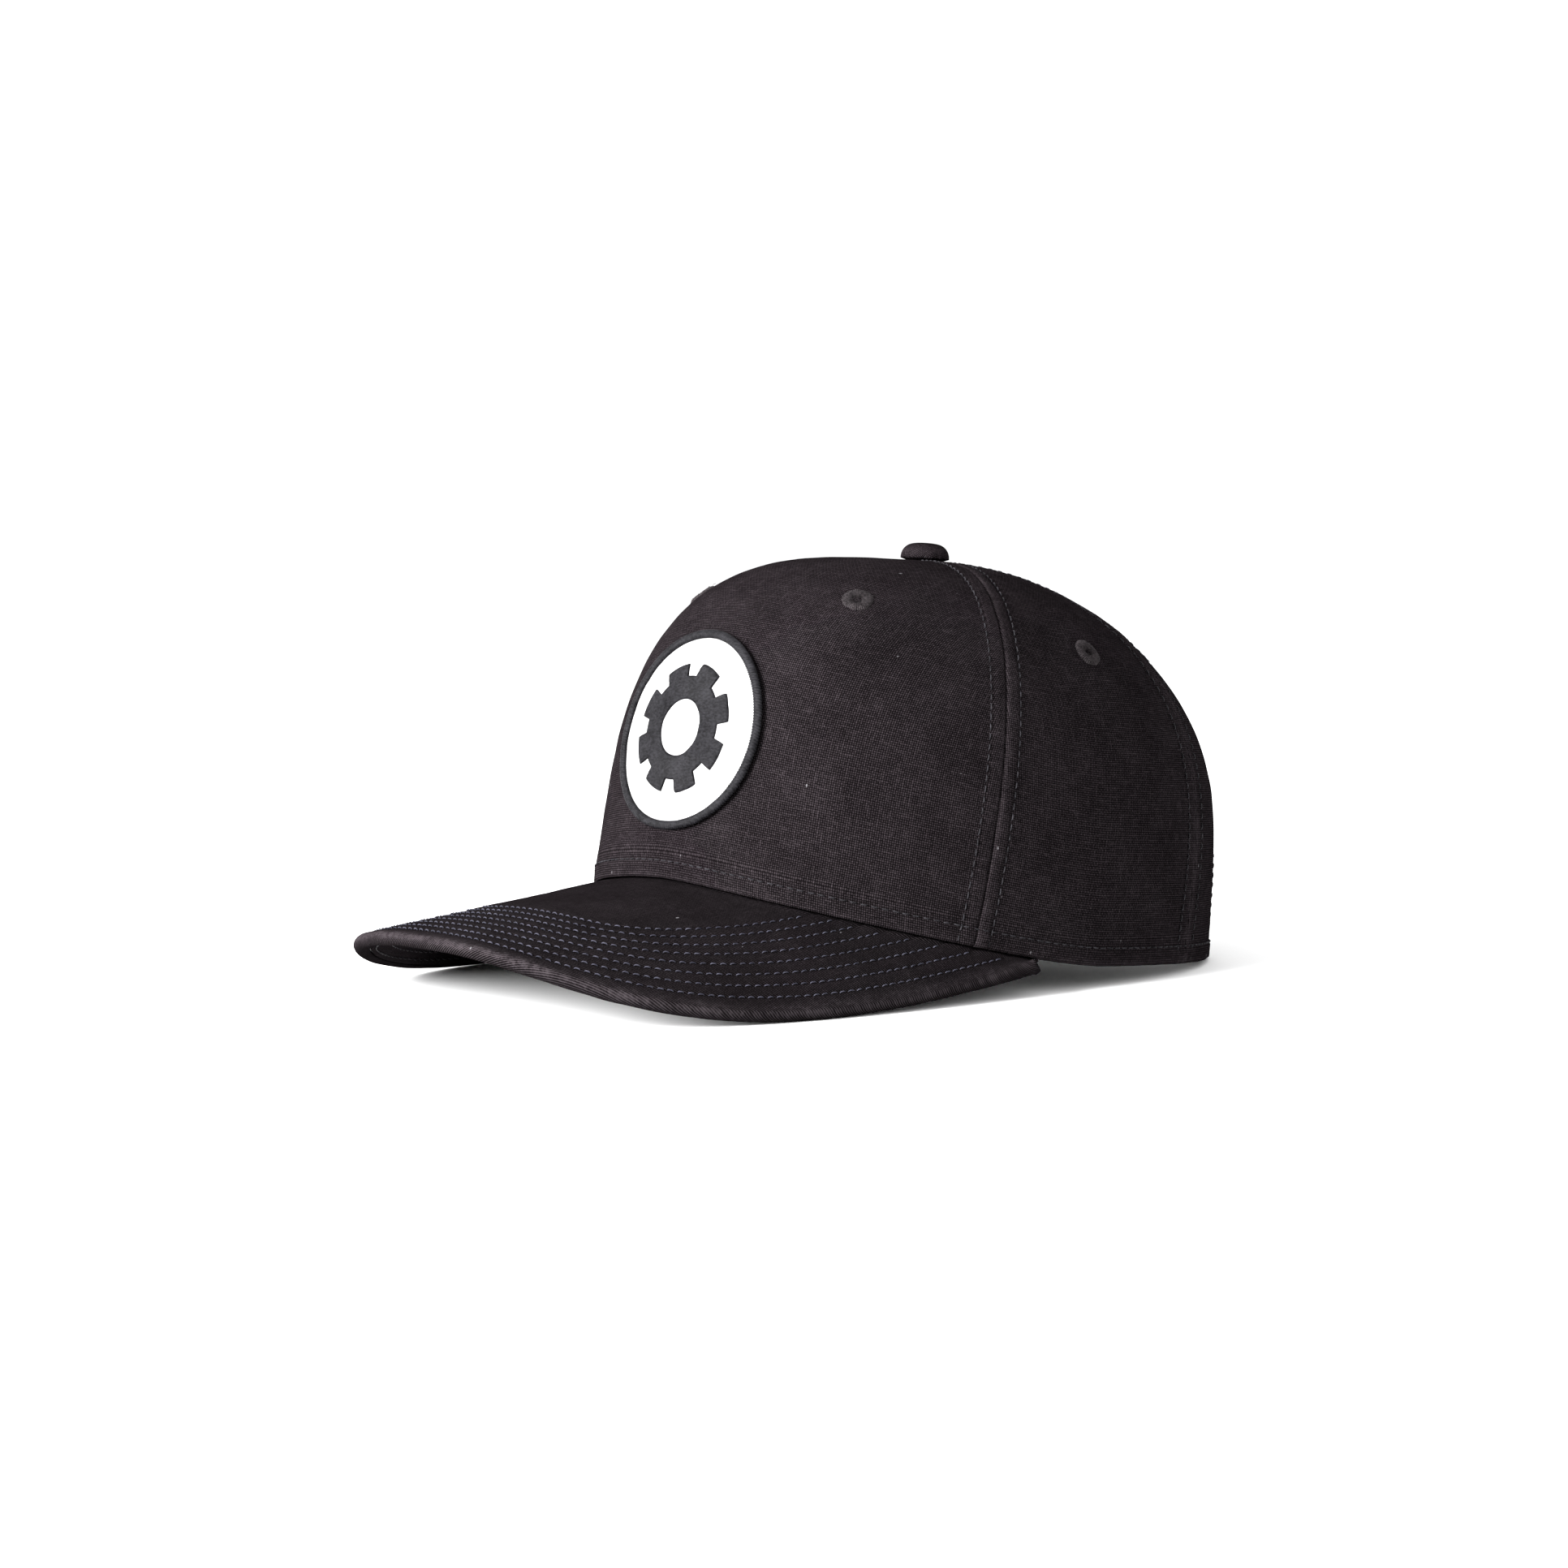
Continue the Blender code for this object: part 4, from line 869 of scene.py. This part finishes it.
under_end = np.maximum(edge_run - BRIM_LIP - 0.0004, 0.0002)
run = np.concatenate([tuck_rows, under_end[None, :] * np.linspace(0, 1, 60)[:, None]])
spot, normal = brim_frame(np.broadcast_to(columns[None, :], run.shape), run)
far = edge_distance(spot)
drop = np.full(run.shape, BRIM_HALF - BRIM_CLOTH)
for index in range(BRIM_ROWS):
    drop -= 0.00020 * bell(far - BRIM_FIRST - BRIM_SPACING * index, 0.00050)
drop += 0.00008 * noise(spot[..., 0], spot[..., 1], 0.008, 65)
flat_uv = np.stack([spot[..., 0], -spot[..., 1]], -1)
brim_cloth("brim_under_cloth", "brim_under_cover", spot - normal * drop[..., None], flat_uv)


def brim_row(distance, lift):
    """A path at one distance from the brim's edge, above or under it."""
    steps = 90
    fine = np.linspace(-0.97, 0.97, 700)
    span = np.linalg.norm(np.subtract(*brim_lines(fine)), axis=-1)
    run = span[:, None] * np.linspace(0, 1, steps)[None, :]
    spot, normal = brim_frame(np.broadcast_to(fine[:, None], run.shape), run)
    far = edge_distance(spot)
    path, ups = [], []
    for column in range(len(fine)):
        values = far[column]
        if values[0] < distance:
            continue
        place = np.interp(-distance, -values, np.arange(steps))
        low = min(int(place), steps - 2)
        part = place - low
        path.append(spot[column, low] * (1 - part) + spot[column, low + 1] * part)
        ups.append(normal[column, low])
    path, ups = np.array(path), np.array(ups)
    return path + ups * lift, ups * np.sign(lift)


top_rows = [brim_row(BRIM_FIRST + BRIM_SPACING * row, BRIM_HALF - 0.00014) for row in range(BRIM_ROWS)]
stitches("brim_stitching", top_rows, ROWS, pitch=0.0029, gap=0.0010, radius=0.00020)
under_rows = [(path - ups * (2 * BRIM_HALF - 0.00034), -ups) for path, ups in top_rows]
stitches("brim_under_stitching", under_rows, THREAD, pitch=0.0029, gap=0.0008, radius=0.00018)


# ---- Patch, eyelets, button --------------------------------------------------------------------
def on_patch(across, along, lift):
    up = PATCH_UP + along / float(length_at(0.0))
    return inset(turn_for(0.0 * up, up, across), up, -np.asarray(lift) - 0.0004 + 0 * up)


def around_patch(radius, turn, lift):
    return on_patch(radius * np.sin(turn), radius * np.cos(turn), lift)


def disc(outer, rings, steps):
    """Radii and places of a round grid whose first ring is almost a point."""
    radius = np.linspace(0.00005, outer, rings)[:, None]
    turn = np.linspace(0, 2 * pi, steps, endpoint=False)[None, :]
    return radius, radius * np.sin(turn), radius * np.cos(turn)


felt_radius = PATCH_RADIUS - 0.0022
radius, x, y = disc(felt_radius, 70, 240)
dish = 0.0011 - 0.0005 * smooth(felt_radius - 0.003, felt_radius, radius) + 0.00007 * noise(x, y, 0.0022, 71)
item = grid_object("patch_felt", on_patch(x, y, dish), FELT, np.stack([x, y], -1), closed=True)
settle(thick(item, 0.0009), "cap", "white_felt", "patch_base")

# Whipped border: a tube with one ridge for every turn of thread.
around = np.linspace(0, 2 * pi, 1200, endpoint=False)[None, :]
tube = np.linspace(0, 2 * pi, 17)[:, None]
ridge = 0.93 + 0.20 * np.abs(np.sin(around * 110 + tube * 1.5))
ridge = ridge + 0.03 * noise(around * 0.03, tube * 0.001, 0.0015, 72)
size = PATCH_BORDER * ridge
radial = PATCH_RADIUS - PATCH_BORDER + size * np.cos(tube)
points = around_patch(radial, around, 0.0010 + size * 0.78 * np.sin(tube))
item = grid_object("patch_whipping", points[:, ::-1], SATIN, closed=True)
settle(item, "cap", "black_thread", "patch_border")

# A plain cog in satin stitch: radial ridges over a padded ring.
COG_TEETH, COG_HOLE, COG_RADIUS, COG_TOOTH = 8, 0.0084, 0.0156, 0.0040
turn = np.linspace(0, 2 * pi, 1600, endpoint=False)
phase = (turn * COG_TEETH / (2 * pi)) % 1
tooth = smooth(0.16, 0.22, phase) * (1 - smooth(0.78, 0.84, phase))
outer_radius = COG_RADIUS + COG_TOOTH * tooth
share = np.linspace(0, 1, 40)[:, None]
radius = COG_HOLE + (outer_radius[None, :] - COG_HOLE) * share
padding = np.minimum(np.minimum(share, 1 - share) * 2 * 7, 1) ** 0.5
satin = 0.00009 * np.abs(np.sin(turn[None, :] * 190 + 3 * share))
points = around_patch(radius, turn, 0.0011 + 0.0006 * padding + satin * padding)
skirt = around_patch(radius[[0, -1]], turn, 0.0008)
item = grid_object("patch_cog", np.concatenate([skirt[:1], points, skirt[1:]]), SATIN, closed=True)
settle(item, "cap", "black_thread", "patch_emblem")


def eyelet(name, node, degrees_round, up, seed):
    """A vent ring of thread bars round a small hole, and the paths of its loose fibres."""
    angle = radians(degrees_round)
    centre = crown(angle, up)
    normal = outward(angle, up)
    side = unit(np.cross((0, 0, 1.0), normal))
    rise = np.cross(normal, side)
    around = np.linspace(0, 2 * pi, 360, endpoint=False)[None, :]
    tube = np.linspace(0, 2 * pi, 15)[:, None]
    rng = np.random.default_rng(seed)
    bars = np.abs(np.sin(around * 22)) ** 0.7
    size = 0.0014 * (1 + 0.22 * bars) + 0.00012 * noise(around * 0.004, tube * 0.0006, 0.0007, seed)
    radial = 0.0029 + size * np.cos(tube) * 1.08
    radial = radial + 0.00025 * noise(around * 0.004, 0 * around, 0.0016, seed + 1)
    height = size * np.sin(tube) * 0.62 - 0.0003
    ring = np.cos(around)[..., None] * side + np.sin(around)[..., None] * rise
    points = centre + radial[..., None] * ring + height[..., None] * normal
    settle(grid_object(name, points, FUZZ, closed=True), "cap", "black_thread", node)
    paths = []
    for _ in range(40):
        turn, reach = rng.uniform(0, 2 * pi), rng.uniform(0.0012, 0.0042)
        start = centre + reach * (cos(turn) * side + sin(turn) * rise) + normal * 0.0004
        bend = rng.normal(size=3) * 0.0004
        way = rng.normal(size=3)
        way -= way @ normal * normal
        way = way / np.linalg.norm(way) * rng.uniform(0.0008, 0.0016)
        line = np.array([start, start + way * 0.5 + normal * 0.0003 + bend * 0.2, start + way + bend * 0.5])
        paths.append((line, np.repeat(normal[None], 3, axis=0)))
    return paths


fluff = []
for place, (degrees_round, up) in EYELETS.items():
    for side, word in ((1, "left"), (-1, "right")):
        seed = len(place) * 10 + side
        fluff += eyelet(f"vent_{place}_{word}", f"eyelet_{place}_{word}", degrees_round * side, up, seed)
stitches("vent_fluff", fluff, FUZZ, pitch=0.0030, gap=0.0, radius=0.00007, lift=0.0)

# Covered button: cloth pulled round a domed cap, gathered under its edge.
turn = np.linspace(0, 2 * pi, 160, endpoint=False)[None, :]
bend = np.concatenate([np.linspace(0.02, 1, 40) * pi / 2, pi / 2 + np.linspace(0.05, 1, 14) * 1.15])[:, None]
gather = 1 + 0.020 * np.cos(turn * 17 + 2 * np.sin(turn * 3)) * smooth(0.9, 1.6, bend)
radius = 0.0074 * np.sin(bend) ** 0.62 * gather
rim_height = CROWN_HEIGHT + 0.0012
height = rim_height + 0.0048 * np.sign(np.cos(bend)) * np.abs(np.cos(bend)) ** 0.8
height = np.where(bend > pi / 2, rim_height - 0.0010 * (1 - np.cos((bend - pi / 2) * 1.3)), height)
points = np.stack([radius * np.sin(turn), -radius * np.cos(turn), height + 0 * turn], -1)
points = points + np.array([0, 0, 0.00006]) * noise(points[..., 0], points[..., 1], 0.003, 81)[..., None]
uv = np.stack([bend * 0.0073 * np.sin(turn), bend * 0.0073 * np.cos(turn)], -1)
worn = np.clip(0.35 * bell(bend - 1.2, 0.35) + 0 * turn, 0, 1)
item = grid_object("button_cloth", points[:, ::-1], CANVAS, uv[:, ::-1], worn[:, ::-1], closed=True)
settle(thick(item, 0.0004), "cap", "crown_canvas", "button_cover")


# ---- Insert ------------------------------------------------------------------------------------
def insert_points(angle, up, depth):
    points = inset(angle, up, depth)
    hem = crown(angle, 0.0)
    limit = np.hypot(hem[..., 0], hem[..., 1]) - SHELL_DRAFT - (depth - SHELL_DEPTH)
    radius = np.hypot(points[..., 0], points[..., 1])
    scale = np.where(radius > limit, limit / np.maximum(radius, 1e-6), 1.0)
    return points * np.stack([scale, scale, np.ones_like(scale)], -1)


def simulate(item, swell):
    """Inflates a pad a little with Blender's Cloth, and holds each point within a limit."""
    before = np.array([v.co for v in item.data.vertices])
    step = item.modifiers.new("Cloth", "CLOTH")
    step.settings.use_pressure = True
    step.settings.uniform_pressure_force = 3.0
    step.settings.effector_weights.gravity = 0
    step.settings.quality = 4
    scene = bpy.context.scene
    for number in range(1, 13):
        scene.frame_set(number)
    apply_all(item)
    scene.frame_set(1)
    after = np.array([v.co for v in item.data.vertices])
    move = after - before
    size = np.linalg.norm(move, axis=1, keepdims=True)
    move *= np.minimum(1, swell / np.maximum(size, 1e-9))
    item.data.vertices.foreach_set("co", (before + move).ravel())
    item.data.update()


def pad(name, grid, node):
    """A soft foam pad: grid(x, y, depth) places its two faces, which meet in a rounded edge."""
    last = 40
    side = np.linspace(-1, 1, last + 1)
    x, y = np.meshgrid(side, side)
    round_x, round_y = x * np.sqrt(1 - 0.5 * y ** 2 * 0.62), y * np.sqrt(1 - 0.5 * x ** 2 * 0.62)
    inward = np.clip(1 - np.maximum(np.abs(x), np.abs(y)), 0, 1)
    dome = np.sqrt(np.clip(1 - (1 - np.clip(inward / 0.16, 0, 1)) ** 2, 0, 1))
    shape = bmesh.new()
    layers = []
    for depth in (PAD_DEPTH + 0.0004 + 0.0020 * (1 - dome), PAD_DEPTH + 0.0022 + 0.0024 * dome):
        spots = world(grid(round_x, round_y, depth))
        layers.append([[shape.verts.new(spot) for spot in row] for row in spots])
    a, b = layers
    for i in range(last):
        for j in range(last):
            shape.faces.new((a[i][j], a[i][j + 1], a[i + 1][j + 1], a[i + 1][j]))
            shape.faces.new((b[i][j], b[i + 1][j], b[i + 1][j + 1], b[i][j + 1]))
    rim = [(0, j) for j in range(last + 1)] + [(i, last) for i in range(1, last + 1)]
    rim += [(last, j) for j in range(last - 1, -1, -1)] + [(i, 0) for i in range(last - 1, 0, -1)]
    for (i, j), (m, n) in zip(rim, rim[1:] + rim[:1]):
        shape.faces.new((a[m][n], a[i][j], b[i][j], b[m][n]))
    bmesh.ops.recalc_face_normals(shape, faces=shape.faces)
    mesh = bpy.data.meshes.new(name)
    shape.to_mesh(mesh)
    shape.free()
    mesh.shade_smooth()
    mesh.materials.append(FOAM)
    item = placed(name, mesh)
    simulate(item, 0.0005)
    settle(item, "insert", "foam", node)


def wall_pad(centre, half_turn, low, high):
    def grid(x, y, depth):
        up = (low + high) / 2 + (high - low) / 2 * y
        return insert_points(radians(centre) + radians(half_turn) * x, up, depth)
    return grid


def top_pad(x, y, depth):
    reach = np.minimum(np.hypot(x, y), 1.0)
    return insert_points(np.arctan2(x, -y), 1 - 0.20 * reach, depth)


pad("pad_front", wall_pad(0, 34, 0.33, 0.66), "foam_front")
pad("pad_left", wall_pad(90, 26, 0.36, 0.66), "foam_left")
pad("pad_right", wall_pad(-90, 26, 0.36, 0.66), "foam_right")
pad("pad_rear", wall_pad(180, 30, 0.45, 0.70), "foam_rear")
pad("pad_crown", top_pad, "foam_crown")


DOT_RADIUS, DOT_UP = 0.011, 0.72


def dot(name, node, centre, depth, thickness, material, body, slot):
    """A round patch of fastener tape with a soft edge."""
    radius, x, y = disc(DOT_RADIUS, 24, 96)
    angle = radians(centre) + turn_for(np.full(x.shape, radians(centre)), DOT_UP, x)
    up = DOT_UP + y / length_at(radians(centre))
    fall = 0.00025 * smooth(0.0095, DOT_RADIUS, radius) + 0 * x
    item = grid_object(name, inset(angle, up, depth + fall), material, np.stack([x, y], -1), closed=True)
    settle(thick(item, thickness - 0.0003), body, slot, node)


LOOP_DEPTH = LINING_DEPTH + 0.0006 + 0.0004
for word, centre in (("front", 0.0), ("left", 97.0), ("right", -97.0), ("rear", 180.0)):
    dot(f"loops_{word}", f"loop_dot_{word}", centre, LOOP_DEPTH, 0.0010, LOOP, "cap", "loop_tape")
    dot(f"hooks_{word}", f"hook_dot_{word}", centre, LOOP_DEPTH + 0.0014, 0.0014, HOOK, "insert", "hook_tape")


# ---- Snap strap --------------------------------------------------------------------------------
def strap_depth(distance, inner):
    if not inner:
        return np.full(np.shape(distance), STRAP_OUTER_DEPTH)
    share = np.clip((distance + STRAP_HINGE - 0.002) / 0.016, 0, 1)
    return STRAP_OUTER_DEPTH + (STRAP_INNER_DEPTH - STRAP_OUTER_DEPTH) * share * share * (3 - 2 * share)


def strap(name, inner, nodes):
    """A moulded strap that runs on from its sewn-in root, with a raised bead round its edge."""
    side = -1 if inner else 1
    start, end = side * (STRAP_HINGE + STRAP_ROOT), -side * (2 * STRAP_PITCH + STRAP_TIP)
    middle, half = (STRAP_LOW + STRAP_HIGH) / 2, (STRAP_HIGH - STRAP_LOW) / 2
    distance = start + (end - start) * np.sin(np.linspace(0, 1, 220) * pi / 2)
    past = np.maximum(half - np.abs(end - distance), 0) / half
    tall = half * np.sqrt(np.maximum(1 - (0.93 * past) ** 2, 0))
    along = np.linspace(-1, 1, 25)
    height = middle + side * tall[None, :] * along[:, None]
    angle = back_angle(distance)
    up = height / length_at(angle)[None, :]
    rim = np.minimum(tall[None, :] * (1 - np.abs(along[:, None])), np.abs(end - distance)[None, :])
    bead = 0.00014 * (1 - smooth(0.0012, 0.0019, rim)) - 0.00030 * (1 - smooth(0.0, 0.0005, rim))
    depth = strap_depth(distance, inner)[None, :] - bead
    points = inset(np.broadcast_to(angle, up.shape), up, depth)
    item = thick(grid_object(name, points, SNAP), 0.0011)
    tools = bmesh.new()
    for index in range(7):
        place = -side * (2 * STRAP_PITCH - STRAP_PITCH * index)
        at = float(back_angle(place))
        level = middle / float(length_at(at))
        out_of = Vector(outward(at, level) @ TURN)
        if inner:
            deep = float(strap_depth(np.array(place), inner))
            base, length, foot, head = deep + 0.0003, 0.0025, 0.0018, 0.0014
        else:
            base, length, foot, head = 0.006, 0.010, 0.0026, 0.0026
        spot = Vector(world(inset(at, level, base))) + out_of * length / 2
        matrix = Matrix.Translation(spot) @ out_of.to_track_quat("Z", "Y").to_matrix().to_4x4()
        bmesh.ops.create_cone(
            tools, cap_ends=True, segments=32, radius1=foot, radius2=head, depth=length, matrix=matrix)
    mesh = bpy.data.meshes.new(name + "_tools")
    tools.to_mesh(mesh)
    tools.free()
    helper = placed(name + "_tools", mesh)
    step = item.modifiers.new("Snaps", "BOOLEAN")
    step.operation = "UNION" if inner else "DIFFERENCE"
    step.object = helper
    bpy.context.view_layer.update()
    apply_all(item)
    item.data.set_sharp_from_angle(angle=radians(35))
    bpy.data.objects.remove(helper)
    root = float(back_angle(side * (STRAP_HINGE + 0.0016)))
    free = float(back_angle(side * (STRAP_HINGE - 0.0030)))
    tuple(world(inset(root, 0.06, STRAP_OUTER_DEPTH)))
    tuple(world(inset(free, 0.06, STRAP_OUTER_DEPTH)))
    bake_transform(item)
    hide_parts(*nodes)


strap("strap_over", False, ("strap_root_left", "strap_socket"))
strap("strap_under", True, ("strap_root_right", "strap_peg"))

# ---- CAD pieces that stay ----------------------------------------------------------------------
for node, material in (
        ("bump_shell", ABS), ("brim_board", BOARD), ("button_rivet", STEEL), ("button_washer", STEEL)):
    item = frame["nodes"][node]
    item.data.materials.clear()
    item.data.materials.append(material)

# ---- Floor, light and camera -------------------------------------------------------------------
floor_paint = Paint("studio floor", 0.8, specular=0.1)
floor_paint.set((0.90, 0.90, 0.90, 1.0), "Base Color")
mesh = bpy.data.meshes.new("studio_floor")
mesh.from_pydata([(-30, -30, 0), (30, -30, 0), (30, 30, 0), (-30, 30, 0)], [], [(0, 1, 2, 3)])
mesh.materials.append(floor_paint.material)
floor = placed("studio_floor", mesh)

TARGET = Vector((0.0, -0.00685, 0.05761))


def aim(item, azimuth, elevation, distance):
    """Puts a light or the camera round the cap, in degrees and metres, and turns it to the cap."""
    a, e = radians(azimuth), radians(elevation)
    item.location = TARGET + Vector((sin(a) * cos(e), -cos(a) * cos(e), sin(e))) * distance
    item.rotation_euler = (TARGET - item.location).to_track_quat("-Z", "Y").to_euler()


def area_light(name, azimuth, elevation, distance, size, power_watts):
    data = bpy.data.lights.new(name, "AREA")
    data.shape = "DISK"
    data.size = size
    data.energy = power_watts
    aim(placed(name, data), azimuth, elevation, distance)


area_light("key", -4, 18, 1.7, 0.9, 150)
area_light("fill", 100, 30, 1.8, 1.4, 3)
area_light("rim", 215, 40, 1.8, 1.0, 7)
sky = bpy.data.worlds.new("studio")
bpy.context.scene.world = sky
sky.use_nodes = True
sky.node_tree.nodes["Background"].inputs["Color"].default_value = (1.0, 1.0, 1.0, 1.0)
sky.node_tree.nodes["Background"].inputs["Strength"].default_value = 1.2

lens = bpy.data.cameras.new("camera")
lens.sensor_width = 36.0
lens.lens = 81.86
lens.clip_start = 0.05
lens.clip_end = 50.0
camera = placed("camera", lens)
aim(camera, 49.717, 4.334, 1.0696)
bpy.context.scene.camera = camera
bpy.context.scene.view_settings.view_transform = "Standard"
